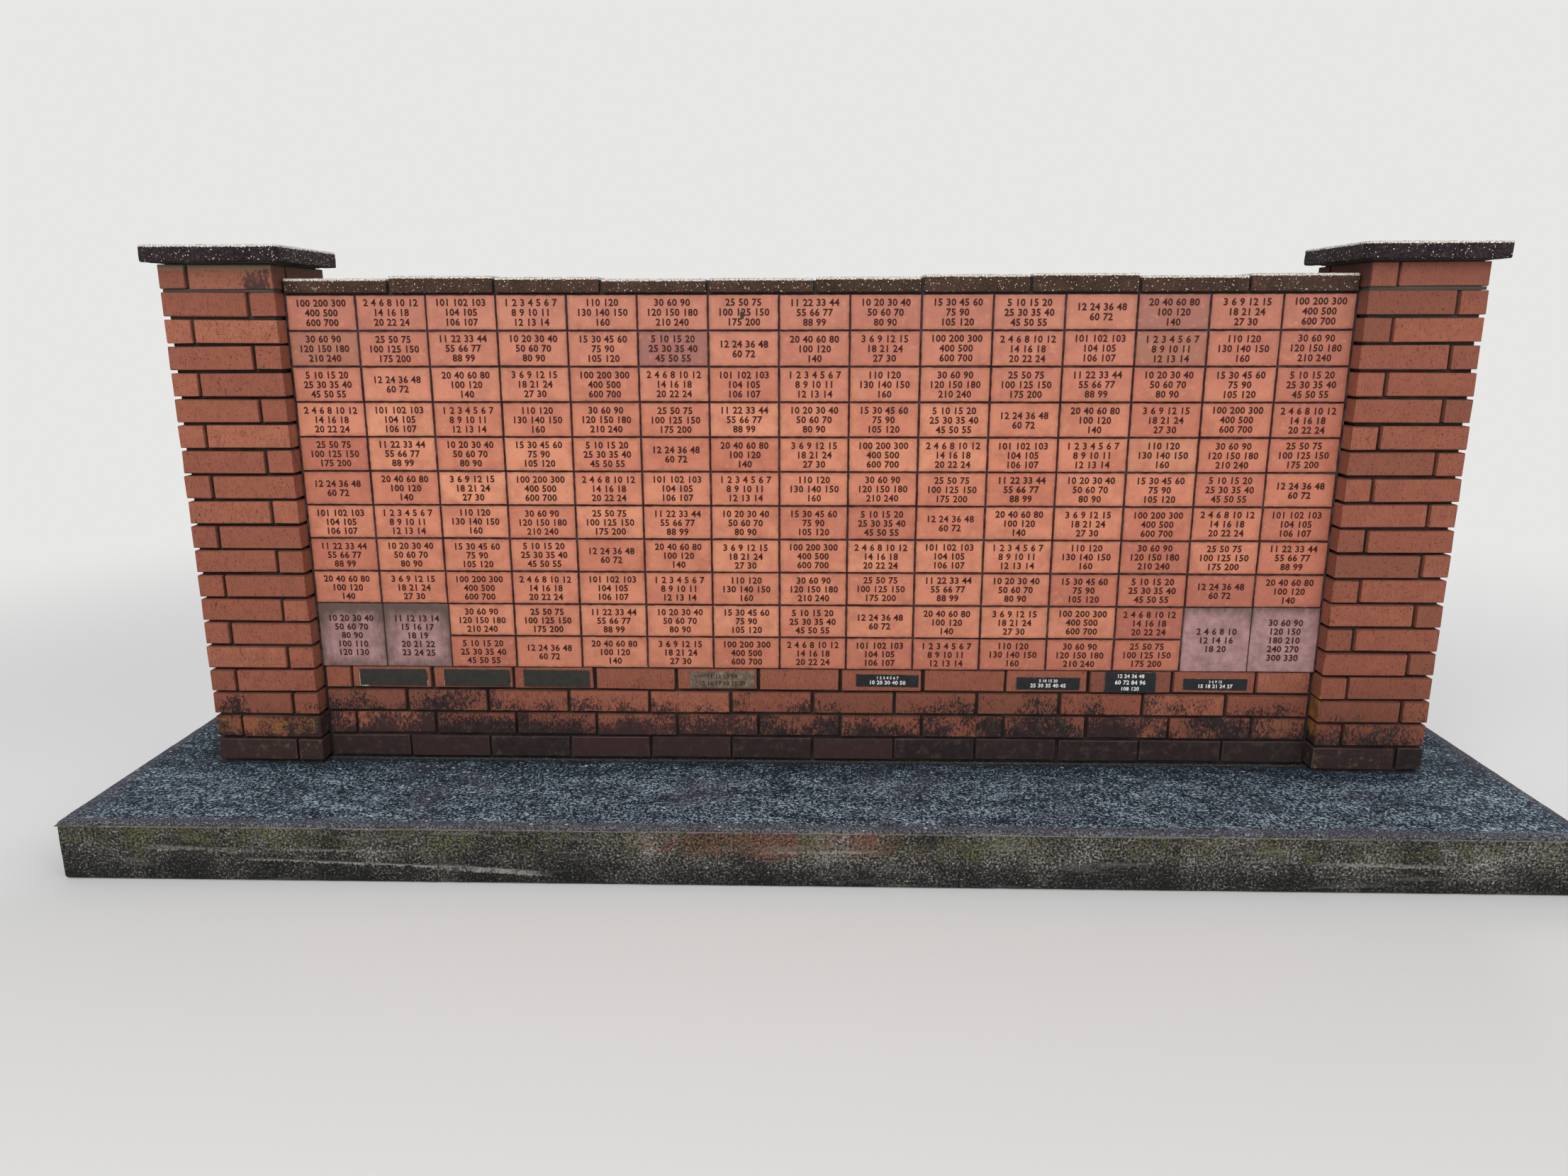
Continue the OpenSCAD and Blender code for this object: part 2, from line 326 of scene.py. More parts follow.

# %% [markdown]
# ## Under the caps, and lichen
# Under the caps the top courses are darker, with dirt and with painted shade from the overhang,
# and the piers' inner sides above the coping carry a deeper painted shade. The left cap has
# squeezed mortar out over the bricks. Lichen grows in crusts of 10 to 30 mm where bricks stay
# moist: olive at the piers' feet, orange in the right-hand corner and in spots on the left pier.

# %% Mark the piers under their caps and at their feet
def cap_coats(tree, along, height, crust):
    """Painted shade and dirt under the caps, squeezed mortar at the left, painted shade on the inner
    sides.
    """
    # painted shade from the caps' overhang, with dirt, darkens the top 0.16 m of the piers
    cap_shade_and_dirt = put(tree, "ShaderNodeMapRange", {"Value": height, "From Min": left_high.z - 0.16,
                                             "From Max": left_high.z, "To Max": 0.42})
    squeezed = put(tree, "ShaderNodeMath", {0: crust, 1: 0.03, 2: height},
                   operation="MULTIPLY_ADD")
    squeezed = put(tree, "ShaderNodeMapRange", {"Value": squeezed, "From Min": left_high.z - 0.008,
                                                "From Max": left_high.z - 0.002, "To Max": 0.85})
    on_left = put(tree, "ShaderNodeMath", {0: along, 1: 0.0}, operation="LESS_THAN")
    squeezed = put(tree, "ShaderNodeMath", {0: squeezed, 1: on_left}, operation="MULTIPLY")
    # painted shade on the piers' inner sides above the coping, where the caps hang over them
    inner = within(tree, along, left_high.x - 0.004, right_low.x + 0.004, 0.002)
    return_shade_height = put(tree, "ShaderNodeMapRange", {"Value": height, "From Min": left_high.z - 0.1,
                                               "From Max": left_high.z - 0.05, "To Max": 0.72})
    inner = put(tree, "ShaderNodeMath", {0: inner, 1: return_shade_height}, operation="MULTIPLY")
    return (cap_shade_and_dirt, "#5b3b34"), (squeezed, "#7b6a54"), (inner, "#3a231e")


def lichen_coats(tree, along, height, speck, crust):
    """Olive lichen that thins out upwards, and orange lichen in two places."""
    damp = put(tree, "ShaderNodeMapRange", {"Value": height, "From Min": plinth_high.z + 0.02,
                                            "From Max": plinth_high.z + 0.19, "To Min": 0.0,
                                            "To Max": -0.12})
    off_wall = within(tree, along, left_high.x + 0.01, right_low.x - 0.01, 0.01)
    off_wall = put(tree, "ShaderNodeMath", {0: off_wall, 1: -0.2}, operation="MULTIPLY")
    olive = put(tree, "ShaderNodeMath", {0: crust, 1: damp}, operation="ADD")
    olive = put(tree, "ShaderNodeMath", {0: olive, 1: off_wall}, operation="ADD")
    olive = put(tree, "ShaderNodeMath", {0: speck, 1: 0.55, 2: olive}, operation="MULTIPLY_ADD")
    olive = put(tree, "ShaderNodeMapRange", {"Value": olive, "From Min": 0.83, "From Max": 0.98,
                                             "To Max": 0.62})
    corner = inside(tree, (along, right_low.x - 0.006, right_low.x + 0.002, 0.012),
                    (height, plinth_high.z + 0.12, plinth_high.z + 0.24, 0.09))
    spots = inside(tree, (along, left_low.x, left_high.x - 0.02, 0.01),
                   (height, plinth_high.z + 0.1, plinth_high.z + 0.145, 0.02))
    spots = put(tree, "ShaderNodeMath", {0: spots, 1: 0.94}, operation="MULTIPLY")
    orange = put(tree, "ShaderNodeMath", {0: corner, 1: spots}, operation="MAXIMUM")
    patchy = put(tree, "ShaderNodeMath", {0: speck, 1: crust}, operation="ADD")
    orange = put(tree, "ShaderNodeMath", {0: orange, 1: patchy}, operation="MULTIPLY")
    orange = put(tree, "ShaderNodeMapRange", {"Value": orange, "From Min": 0.94, "From Max": 1.12,
                                              "To Max": 0.8})
    return (olive, "#766830"), (orange, "#9c7428")


print("the caps' undersides lie at z", round(left_high.z, 3))

# %% [markdown]
# ## The brick's finish, coat on coat
# The coats now go over the clay in turn: damp, soot, dirt and painted shade on the arrises,
# painted shade, dirt and squeezed mortar under the caps, and lichen last. Only the scratches and
# flecks stand in relief. Fired clay is matte, so its roughness is high and its reflection weak.

# %% Make the facing brick
def facing_brick():
    """Wire-cut fired clay: matte, scratched upright, flecked, dirtier towards the ground."""
    material, tree, shader, place = new_material("wire_cut_fired_clay")
    firing, shift = fired(tree, place)
    axes = put(tree, "ShaderNodeSeparateXYZ", {"Vector": place}).node
    along, height = axes.outputs["X"], axes.outputs["Z"]
    clay, drag, fleck = wire_cut_clay(tree, firing, shift)
    crust = put(tree, "ShaderNodeTexNoise", {"Vector": place, "Scale": 34.0, "Detail": 6.0,
                                             "Roughness": 0.72})
    lowest = put(tree, "ShaderNodeMapRange", {"Value": height, "From Min": plinth_high.z + 0.07,
                                              "From Max": plinth_high.z + 0.085,
                                              "To Min": 0.42, "To Max": 0.0})
    soot, speck = splashed_soot(tree, place, shift, along, height, lowest)
    weathered = coated(tree, clay, (damp_film(tree, along, height), "#412720"),
                       (soot, grime_tone(tree, crust, firing)), arris_coat(tree, lowest),
                       *cap_coats(tree, along, height, crust),
                       *lichen_coats(tree, along, height, speck, crust))
    relief = put(tree, "ShaderNodeMath", {0: drag, 1: fleck}, operation="ADD")
    dress(tree, shader, weathered, 0.9, 0.25, (relief, 0.55, 0.0015))
    return material


brick_clay = facing_brick()
print("made", brick_clay.name, "of", len(brick_clay.node_tree.nodes), "nodes")

# %% [markdown]
# ## Smooth tablet clay
# The tablets are pressed in a steel mould from a finer clay, so their faces are nearly plain and
# the colour is a warm salmon. Some were fired hotter and came out browner or more purple.
# Dirt and painted shade darken the faces along the joints. Ping-pong maths folds the wall's
# coordinates at every joint, which gives each point its distance to the nearest one without any
# picture of the wall.

# %% Make the tablet clay
def joint_distance(tree, place, cell_height):
    """How far a point lies from the nearest joint, in metres."""
    folded = []
    for axis, start, cell in (("X", FIELD_X - THIN_JOINT / 2, TABLET_L + THIN_JOINT),
                              ("Z", FIELD_Z + THIN_JOINT / 2, cell_height + THIN_JOINT)):
        value = put(tree, "ShaderNodeSeparateXYZ", {"Vector": place}, result=axis)
        moved = put(tree, "ShaderNodeMath", {0: value, 1: start}, operation="SUBTRACT")
        folded.append(put(tree, "ShaderNodeMath", {0: moved, 1: cell / 2}, operation="PINGPONG"))
    return put(tree, "ShaderNodeMath", {0: folded[0], 1: folded[1]}, operation="MINIMUM")


def salmon_clay():
    """Pressed clay: close and even, with faint clouds, small pits, and dirt and painted shade by its
    joints.
    """
    material, tree, shader, place = new_material("pressed_salmon_clay")
    firing, shift = fired(tree, place)
    tone = put(tree, "ShaderNodeValToRGB", {"Fac": firing},
               stops=((0.0, "#ac6755"), (1.0, "#93655f"), (0.3, "#c2785f"),
                      (0.6, "#d1886b"), (0.85, "#da9473"), (0.9, "#a66f57")))
    cloud = put(tree, "ShaderNodeTexNoise", {"Vector": shift, "Scale": 16.0, "Detail": 6.0,
                                             "Roughness": 0.65})
    cloud = put(tree, "ShaderNodeMapRange", {"Value": cloud, "From Min": 0.42, "From Max": 0.68,
                                             "To Max": 0.62})
    # the top rows are cooler and darker
    up = put(tree, "ShaderNodeSeparateXYZ", {"Vector": place}, result="Z")
    bloom = put(tree, "ShaderNodeMapRange", {"Value": up, "From Min": FIELD_Z + 0.72,
                                             "From Max": FIELD_Z + 1.13, "To Max": 0.5})
    # rubbed spots where the paler clay shows, about 10 mm
    rub = put(tree, "ShaderNodeTexNoise", {"Vector": shift, "Scale": 60.0, "Detail": 4.0})
    rub = put(tree, "ShaderNodeMapRange", {"Value": rub, "From Min": 0.56, "From Max": 0.72,
                                           "To Max": 0.5})
    # pits of 2 to 3 mm
    pit = put(tree, "ShaderNodeTexNoise", {"Vector": shift, "Scale": 300.0, "Detail": 3.0})
    pit_mark = put(tree, "ShaderNodeMapRange", {"Value": pit, "From Min": 0.6, "From Max": 0.7,
                                                "To Max": 0.4})
    # dirt and painted shade that fade over 14 mm from a joint, and a line of painted shade at the
    # arris
    edge = joint_distance(tree, place, TABLET_H)
    joint_dirt_and_shade = put(tree, "ShaderNodeMapRange", {"Value": edge, "From Min": 0.0016, "From Max": 0.014,
                                            "To Min": 0.6, "To Max": 0.0})
    ragged = put(tree, "ShaderNodeTexNoise", {"Vector": shift, "Scale": 45.0, "Detail": 4.0})
    joint_dirt_and_shade = put(tree, "ShaderNodeMath", {0: joint_dirt_and_shade, 1: ragged}, operation="MULTIPLY")
    line = put(tree, "ShaderNodeMath", {0: ragged, 1: -0.004, 2: edge}, operation="MULTIPLY_ADD")
    line = put(tree, "ShaderNodeMapRange", {"Value": line, "From Min": 0.0004, "From Max": 0.0022,
                                            "To Min": 0.92, "To Max": 0.0})
    worn = coated(tree, tone, (cloud, "#a4604e"), (bloom, "#a26d61"), (rub, "#d08e73"),
                  (pit_mark, "#7d4434"), (joint_dirt_and_shade, "#592a1f"), (line, "#341a17"))
    dress(tree, shader, worn, 0.82, 0.3, (pit, 0.3, 0.0008))
    return material


tablet_clay = salmon_clay()
print("made", tablet_clay.name)

# %% [markdown]
# ## Pink clay of the square tablets
# The four square tablets come from another, pinker clay. Rain has run dirt down from their top
# edges in streaks, far more at the left end of the wall than at the right.

# %% Make the pink clay
def pink_clay():
    """Pressed pink clay with grey-green runs of dirt from the top and the sides."""
    material, tree, shader, place = new_material("pressed_pink_clay")
    firing, shift = fired(tree, place)
    tone = put(tree, "ShaderNodeValToRGB", {"Fac": firing},
               stops=((0.0, "#a47c7c"), (1.0, "#c0989b")))
    cloud = put(tree, "ShaderNodeTexNoise", {"Vector": shift, "Scale": 30.0, "Detail": 6.0,
                                             "Roughness": 0.7})
    cloud = put(tree, "ShaderNodeMapRange", {"Value": cloud, "From Min": 0.36, "From Max": 0.66})
    axes = put(tree, "ShaderNodeSeparateXYZ", {"Vector": place}).node
    dirt = put(tree, "ShaderNodeMapRange", {"Value": axes.outputs["Z"],
                                            "From Min": FIELD_Z + 0.125,
                                            "From Max": FIELD_Z + SQUARE_H + 0.02,
                                            "To Max": 0.46})
    side = put(tree, "ShaderNodeMapRange", {"Value": joint_distance(tree, place, SQUARE_H),
                                            "From Min": 0.0, "From Max": 0.045,
                                            "To Min": 0.4, "To Max": 0.0})
    run_place = put(tree, "ShaderNodeMapping", {"Vector": shift, "Scale": (1.0, 1.0, 0.3)})
    run = put(tree, "ShaderNodeTexNoise", {"Vector": run_place, "Scale": 42.0, "Detail": 8.0,
                                           "Roughness": 0.8})
    left_end = put(tree, "ShaderNodeMapRange", {"Value": axes.outputs["X"], "From Min": -1.0,
                                                "From Max": 1.0, "To Min": 0.03, "To Max": -0.33})
    for more in (side, run, left_end):
        dirt = put(tree, "ShaderNodeMath", {0: dirt, 1: more}, operation="ADD")
    dirt = put(tree, "ShaderNodeMapRange", {"Value": dirt, "From Min": 0.54, "From Max": 1.02,
                                            "To Max": 0.85})
    dirty = coated(tree, tone, (cloud, "#8f6e68"), (dirt, "#4f433a"))
    # pits of 2 to 3 mm
    pit = put(tree, "ShaderNodeTexNoise", {"Vector": shift, "Scale": 300.0, "Detail": 3.0})
    dress(tree, shader, dirty, 0.85, 0.25, (pit, 0.35, 0.0008))
    return material


square_clay = pink_clay()
print("made", square_clay.name)

# %% [markdown]
# ## Mortar
# Mortar is sand and cement, dark with age and soot. The piers and courses have a coarse one,
# raked back. The tablets sit in a thin grey-blue bed, with pale lime showing here and there.

# %% Make the two mortars
def aged_mortar(name, dark, pale, patch_size, top_colour):
    """Sand and cement: gritty and matte, in dark and pale patches, greener near the caps."""
    material, tree, shader, place = new_material(name)
    stain = put(tree, "ShaderNodeTexNoise", {"Vector": place, "Scale": 1 / patch_size,
                                             "Detail": 6.0, "Roughness": 0.65})
    colour = put(tree, "ShaderNodeValToRGB", {"Fac": stain}, stops=((0.4, dark), (0.75, pale)))
    up = put(tree, "ShaderNodeSeparateXYZ", {"Vector": place}, result="Z")
    high = put(tree, "ShaderNodeMapRange", {"Value": up, "From Min": left_high.z - 0.25,
                                            "From Max": left_high.z - 0.02, "To Max": 0.6})
    # sand of 1 to 3 mm
    grit = put(tree, "ShaderNodeTexNoise", {"Vector": place, "Scale": 380.0, "Detail": 4.0})
    dress(tree, shader, coated(tree, colour, (high, top_colour)), 0.95, 0.2, (grit, 0.8, 0.002))
    return material


mortar = aged_mortar("sand_cement_mortar", "#241f1d", "#453e38", 0.09, "#5f5f58")
thin_mortar = aged_mortar("thin_bed_mortar", "#2a1d1c", "#6a5a53", 0.04, "#3c4251")
print("made", mortar.name, "and", thin_mortar.name)

# %% [markdown]
# ## Filled strokes and plates
# The strokes cut in the clay are filled with dark enamel. The small plates are of three kinds:
# black anodised aluminium, bronze gone grey-green, and brass gone brown.

# %% Make the enamel and the plate metals
def stroke_enamel(name, stops):
    """Matte enamel worked into cut strokes, worn thin in places."""
    material, tree, shader, place = new_material(name)
    wear = put(tree, "ShaderNodeTexNoise", {"Vector": place, "Scale": 90.0, "Detail": 3.0})
    dress(tree, shader, put(tree, "ShaderNodeValToRGB", {"Fac": wear}, stops=stops), 0.75, 0.3)
    return material


def plate_metal(name, stops, roughness, metallic, scratch):
    """Sheet metal under a film of weather: clouds of stain over fine lengthwise brushing."""
    material, tree, shader, place = new_material(name)
    stain = put(tree, "ShaderNodeTexNoise", {"Vector": place, "Scale": 40.0, "Detail": 7.0,
                                             "Roughness": 0.7})
    colour = put(tree, "ShaderNodeValToRGB", {"Fac": stain}, stops=stops)
    rim = put(tree, "ShaderNodeAttribute", result="Fac", attribute_name="rim")
    scrap = put(tree, "ShaderNodeTexNoise", {"Vector": place, "Scale": 55.0, "Detail": 4.0})
    worn = put(tree, "ShaderNodeMath", {0: rim, 1: scrap}, operation="MULTIPLY")
    worn = put(tree, "ShaderNodeMapRange", {"Value": worn, "From Min": 0.5, "From Max": 0.6,
                                            "To Max": scratch})
    # brushed lines 1 mm apart
    brush_place = put(tree, "ShaderNodeMapping", {"Vector": place, "Scale": (0.03, 1.0, 1.0)})
    brush = put(tree, "ShaderNodeTexNoise", {"Vector": brush_place, "Scale": 900.0})
    dress(tree, shader, coated(tree, colour, (worn, "#a9a597")), roughness, 0.3,
          (brush, 0.2, 0.0003))
    shader.inputs["Metallic"].default_value = metallic
    return material


dark_enamel = stroke_enamel("dark_stroke_enamel", ((0.35, "#2b0b06"), (0.75, "#4c1a10")))
faded_enamel = stroke_enamel("faded_stroke_enamel", ((0.4, "#1f1a17"), (0.66, "#453a31")))
white_enamel = stroke_enamel("white_stroke_enamel", ((0.35, "#d9d7d0"), (0.7, "#efeee9")))
black_plate = plate_metal("black_anodised_aluminium", ((0.35, "#15161a"), (0.7, "#24262b")),
                          0.45, 0.0, 0.35)
bronze_plate = plate_metal("weathered_bronze", ((0.35, "#252624"), (0.7, "#37342f")),
                           0.7, 0.0, 0.2)
brass_plate = plate_metal("tarnished_brass", ((0.4, "#54463c"), (0.66, "#8f7c66")),
                          0.6, 0.2, 0.3)
print("made", [m.name for m in (dark_enamel, white_enamel, black_plate, bronze_plate, brass_plate)])

# %% [markdown]
# ## Concrete of the caps and the coping
# The caps and coping blocks are precast, coloured dark red-brown, and full of pale chips. Their
# tops are painted pale as sunlight on rough stone, and the painted light runs a few millimetres
# over the edge. Every point of a block carries its depth below the block's own top, so the
# painted sunlit band follows each block, however high it was set.

# %% Make the precast concrete
def stones(tree, place, scale, rarity, reach):
    """A stone in some cells of a Voronoi pattern, each with a reach of its own."""
    cells = put(tree, "ShaderNodeTexVoronoi", {"Vector": place, "Scale": scale}).node
    lot = put(tree, "ShaderNodeSeparateColor", {"Color": cells.outputs["Color"]})
    size = put(tree, "ShaderNodeMapRange", {"Value": lot, "From Min": rarity, "From Max": 1.0,
                                            "To Max": reach})
    return put(tree, "ShaderNodeMath", {0: cells.outputs["Distance"], 1: size},
               operation="LESS_THAN")


def precast_concrete(name, dark, mid):
    """Dense precast concrete with white chips of 2 to 4 mm, its top painted pale with sunlight."""
    material, tree, shader, place = new_material(name)
    stain = put(tree, "ShaderNodeTexNoise", {"Vector": place, "Scale": 14.0, "Detail": 9.0,
                                             "Roughness": 0.72})
    colour = put(tree, "ShaderNodeValToRGB", {"Fac": stain}, stops=((0.36, dark), (0.66, mid)))
    grain = put(tree, "ShaderNodeTexNoise", {"Vector": place, "Scale": 190.0, "Detail": 4.0,
                                             "Roughness": 0.75})
    dots = put(tree, "ShaderNodeMapRange", {"Value": grain, "From Min": 0.54, "From Max": 0.7,
                                            "To Max": 0.46})
    hollow = put(tree, "ShaderNodeMapRange", {"Value": grain, "From Min": 0.46, "From Max": 0.34,
                                              "To Max": 0.8})
    chipped = coated(tree, colour, (dots, "#84736a"), (hollow, "#1d1617"),
                     (stones(tree, place, 270.0, 0.85, 0.5), "#cdc4ba"))
    # painted sunlight on the top, and its ragged rim down the sides
    depth = put(tree, "ShaderNodeAttribute", result="Fac", attribute_name="under_top")
    worn = put(tree, "ShaderNodeMapRange", {"Value": depth, "From Min": 0.004, "From Max": 0.012,
                                            "To Min": 0.66, "To Max": 0.0})
    worn = put(tree, "ShaderNodeMath", {0: grain, 1: worn}, operation="ADD")
    worn = put(tree, "ShaderNodeMapRange", {"Value": worn, "From Min": 0.76, "From Max": 0.9,
                                            "To Max": 0.94})
    sunlit_stone_tone = put(tree, "ShaderNodeValToRGB", {"Fac": grain},
                     stops=((0.36, "#857c74"), (0.62, "#f6f1e9"), (0.48, "#cbc3b8")))
    # soot and old lichen lie in patches of 50 mm on the very top, away from the edge
    flat_top = put(tree, "ShaderNodeMapRange", {"Value": depth, "From Min": 0.0015,
                                                "From Max": 0.004, "To Min": 1.0, "To Max": 0.0})
    sooty = put(tree, "ShaderNodeMapRange", {"Value": stain, "From Min": 0.47, "From Max": 0.62,
                                             "To Max": 0.62})
    sooty = put(tree, "ShaderNodeMath", {0: sooty, 1: flat_top}, operation="MULTIPLY")
    topped = coated(tree, chipped, (worn, coated(tree, sunlit_stone_tone, (sooty, "#6a635a"))))
    dress(tree, shader, topped, 0.92, 0.15, (grain, 0.8, 0.0025))
    return material


cap_concrete = precast_concrete("weathered_cap_concrete", "#1f191c", "#32272b")
coping_concrete = precast_concrete("weathered_coping_concrete", "#38291f", "#513a30")
print("made", cap_concrete.name, "and", coping_concrete.name)

# %% [markdown]
# ## Top of the plinth
# The plinth was cast on site between boards. Its top has worn down to the stones in the mix, so
# dark and pale grains of 3 to 8 mm lie side by side, in paler and darker drifts. Their blue cast is
# painted shade, the top as it looks in shadow under a blue sky. Along the edge a hand tool closed
# the surface in a band of 45 mm. A dark band at the foot of the wall is washed soil and painted
# contact shade, and a broken line of pale crumbs lies in front of the bricks.

# %% Wear the plinth's top
TOOLED_BAND = 0.045


def worn_top(tree, place, along, across, grain, grit):
    """Grains in drifts, blue with painted shade, darker towards the wall, and the edging tool's
    band.
    """
    drift_place = put(tree, "ShaderNodeMapping", {"Vector": place, "Scale": (0.6, 1.3, 1.0)})
    drift = put(tree, "ShaderNodeTexNoise", {"Vector": drift_place, "Scale": 12.0, "Detail": 6.0,
                                             "Roughness": 0.65})
    near_wall = put(tree, "ShaderNodeMapRange", {"Value": across, "From Min": plinth_low.y + 0.33,
                                                 "From Max": plinth_low.y + 0.43,
                                                 "To Min": 0.0, "To Max": -0.045})
    mixed = put(tree, "ShaderNodeMath", {0: drift, 1: 0.25, 2: grain}, operation="MULTIPLY_ADD")
    mixed = put(tree, "ShaderNodeMath", {0: grit, 1: 0.4, 2: mixed}, operation="MULTIPLY_ADD")
    mixed = put(tree, "ShaderNodeMath", {0: mixed, 1: near_wall}, operation="ADD")
    # the blue-grey of these tones is painted shade: the top in shadow under a blue sky
    top_in_painted_shade = put(tree, "ShaderNodeValToRGB", {"Fac": mixed},
              stops=((0.725, "#0f151d"), (0.945, "#b4c7d4"), (0.795, "#212d3b"), (0.865, "#475867")))
    purple = put(tree, "ShaderNodeTexNoise", {"Vector": place, "Scale": 4.0, "Detail": 4.0})
    purple = put(tree, "ShaderNodeMapRange", {"Value": purple, "From Min": 0.56, "From Max": 0.66,
                                              "To Max": 0.42})
    open_x = within(tree, along, plinth_low.x + TOOLED_BAND, plinth_high.x - TOOLED_BAND, 0.02)
    open_y = within(tree, across, plinth_low.y + TOOLED_BAND, plinth_high.y - TOOLED_BAND, 0.02)
    tooled = put(tree, "ShaderNodeMath", {0: open_x, 1: open_y}, operation="MINIMUM")
    tooled = put(tree, "ShaderNodeMath", {0: tooled, 1: -0.75, 2: 0.75}, operation="MULTIPLY_ADD")
    smooth = put(tree, "ShaderNodeValToRGB", {"Fac": grit},
                 stops=((0.38, "#222026"), (0.64, "#928e95"), (0.5, "#3e3a42")))
    # white shell and quartz, one piece here and there
    shell = stones(tree, place, 70.0, 0.93, 0.4)
    return coated(tree, top_in_painted_shade, (purple, "#453f4d"), (tooled, smooth), (shell, "#b9bdbc"))


def foot_coats(tree, along, across, grit):
    """Washed soil and painted contact shade at the foot of wall and piers, pale crumbs along the
    wall.
    """
    between = within(tree, along, left_high.x, right_low.x, 0.001)
    # the dark band at the foot: washed soil and painted contact shade
    foot_soil_and_shade = within(tree, across, FACE_Y - 0.014, FACE_Y + 0.1, 0.03)
    foot_soil_and_shade = put(tree, "ShaderNodeMath", {0: foot_soil_and_shade, 1: between}, operation="MULTIPLY")
    pier_foot = inside(tree, (across, left_low.y, left_low.y + 0.2, 0.025),
                       (along, left_low.x, right_high.x, 0.015))
    outer = put(tree, "ShaderNodeMath", {0: between, 1: -1.0, 2: 1.0}, operation="MULTIPLY_ADD")
    pier_foot = put(tree, "ShaderNodeMath", {0: pier_foot, 1: outer}, operation="MULTIPLY")
    foot_soil_and_shade = put(tree, "ShaderNodeMath", {0: foot_soil_and_shade, 1: pier_foot}, operation="MAXIMUM")
    foot_soil_and_shade = put(tree, "ShaderNodeMath", {0: foot_soil_and_shade, 1: 0.75}, operation="MULTIPLY")
    crumbs = within(tree, across, FACE_Y - 0.006, FACE_Y + 0.004, 0.006)
    crumbs = put(tree, "ShaderNodeMath", {0: crumbs, 1: between}, operation="MULTIPLY")
    strewn = put(tree, "ShaderNodeMapRange", {"Value": grit, "From Min": 0.5, "From Max": 0.6,
                                              "To Max": 0.8})
    crumbs = put(tree, "ShaderNodeMath", {0: crumbs, 1: strewn}, operation="MULTIPLY")
    return (foot_soil_and_shade, "#1d1c1e"), (crumbs, "#857e72")


print("the tooled band is", round(1000 * TOOLED_BAND), "mm wide")

# %% [markdown]
# ## Sides of the plinth
# The sides show the grain of the mix, darker in the splash zone near the ground, with olive moss
# above and a rust-brown patch near the middle. Like the lime further on, the rust has a
# place of its own, as it has on the real plinth.

# %% Grow moss and rust on the sides
def stained_side(tree, place, along, height, stain, grain, fine):
    """Grey-brown grain, with moss over it and rust over both."""
    mixed = put(tree, "ShaderNodeMath", {0: stain, 1: 0.55, 2: fine}, operation="MULTIPLY_ADD")
    mixed = put(tree, "ShaderNodeMath", {0: grain, 1: 0.3, 2: mixed}, operation="MULTIPLY_ADD")
    low = put(tree, "ShaderNodeMapRange", {"Value": height, "From Min": plinth_low.z + 0.02,
                                           "From Max": plinth_low.z + 0.1, "To Min": -0.07,
                                           "To Max": 0.02})
    mixed = put(tree, "ShaderNodeMath", {0: mixed, 1: low}, operation="ADD")
    mixed = put(tree, "ShaderNodeMapRange", {"Value": mixed, "From Min": 0.7, "From Max": 1.22})
    side = put(tree, "ShaderNodeValToRGB", {"Fac": mixed},
               stops=((0.08, "#0f0f0e"), (0.88, "#bbb8b1"), (0.38, "#282726"), (0.59, "#595651")))
    high = put(tree, "ShaderNodeMapRange", {"Value": height, "From Min": plinth_low.z + 0.05,
                                            "From Max": plinth_low.z + 0.12, "To Min": -0.14,
                                            "To Max": 0.03})
    moss = put(tree, "ShaderNodeTexNoise", {"Vector": place, "Scale": 11.0, "Detail": 9.0,
                                            "Roughness": 0.8})
    moss = put(tree, "ShaderNodeMath", {0: moss, 1: high}, operation="ADD")
    moss = put(tree, "ShaderNodeMath", {0: fine, 1: 0.6, 2: moss}, operation="MULTIPLY_ADD")
    moss = put(tree, "ShaderNodeMapRange", {"Value": moss, "From Min": 0.8, "From Max": 0.94,
                                            "To Max": 0.78})
    moss_tone = put(tree, "ShaderNodeValToRGB", {"Fac": fine},
                    stops=((0.4, "#25251c"), (0.62, "#716f48")))
    rust_in = inside(tree, (along, -0.32, 0.18, 0.3),
                     (height, plinth_low.z + 0.105, plinth_low.z + 0.16, 0.035))
    rust = put(tree, "ShaderNodeTexNoise", {"Vector": place, "Scale": 14.0, "Detail": 8.0,
                                            "Roughness": 0.78})
    rust = put(tree, "ShaderNodeMath", {0: rust_in, 1: 0.24, 2: rust}, operation="MULTIPLY_ADD")
    rust = put(tree, "ShaderNodeMath", {0: fine, 1: 0.35, 2: rust}, operation="MULTIPLY_ADD")
    rust = put(tree, "ShaderNodeMapRange", {"Value": rust, "From Min": 0.82, "From Max": 0.98,
                                            "To Max": 0.8})
    rust_tone = put(tree, "ShaderNodeValToRGB", {"Fac": fine},
                    stops=((0.4, "#3b251d"), (0.62, "#8c6250")))
    return coated(tree, side, (moss, moss_tone), (rust, rust_tone))


print("the sides are", round(plinth_high.z - plinth_low.z, 3), "m high")

# %% [markdown]
# ## Lime along the pour lines
# Where one batch of concrete met the next, water has crept out and left white lime. A line is
# a slope along the wall, roughened by two noises and broken up by them as well. Each
# has a place of its own: its start and end, its heights there, half its thickness, and
# its strength.

# %% Draw the lime
POUR_LINES = ((-1.56, -1.0, 0.069, 0.051, 0.002, 1.0), (-1.02, -0.78, 0.050, 0.036, 0.007, 1.0),
              (-1.86, -1.60, 0.104, 0.094, 0.006, 0.5), (-1.50, -1.18, 0.100, 0.097, 0.002, 0.6),
              (-0.12, 0.16, 0.106, 0.112, 0.003, 0.7), (1.42, 1.74, 0.089, 0.084, 0.004, 0.8))
ROUGH_BY, FINE_BY = 0.02, 0.022
NOISE_MIDDLE = (ROUGH_BY + FINE_BY) / 2


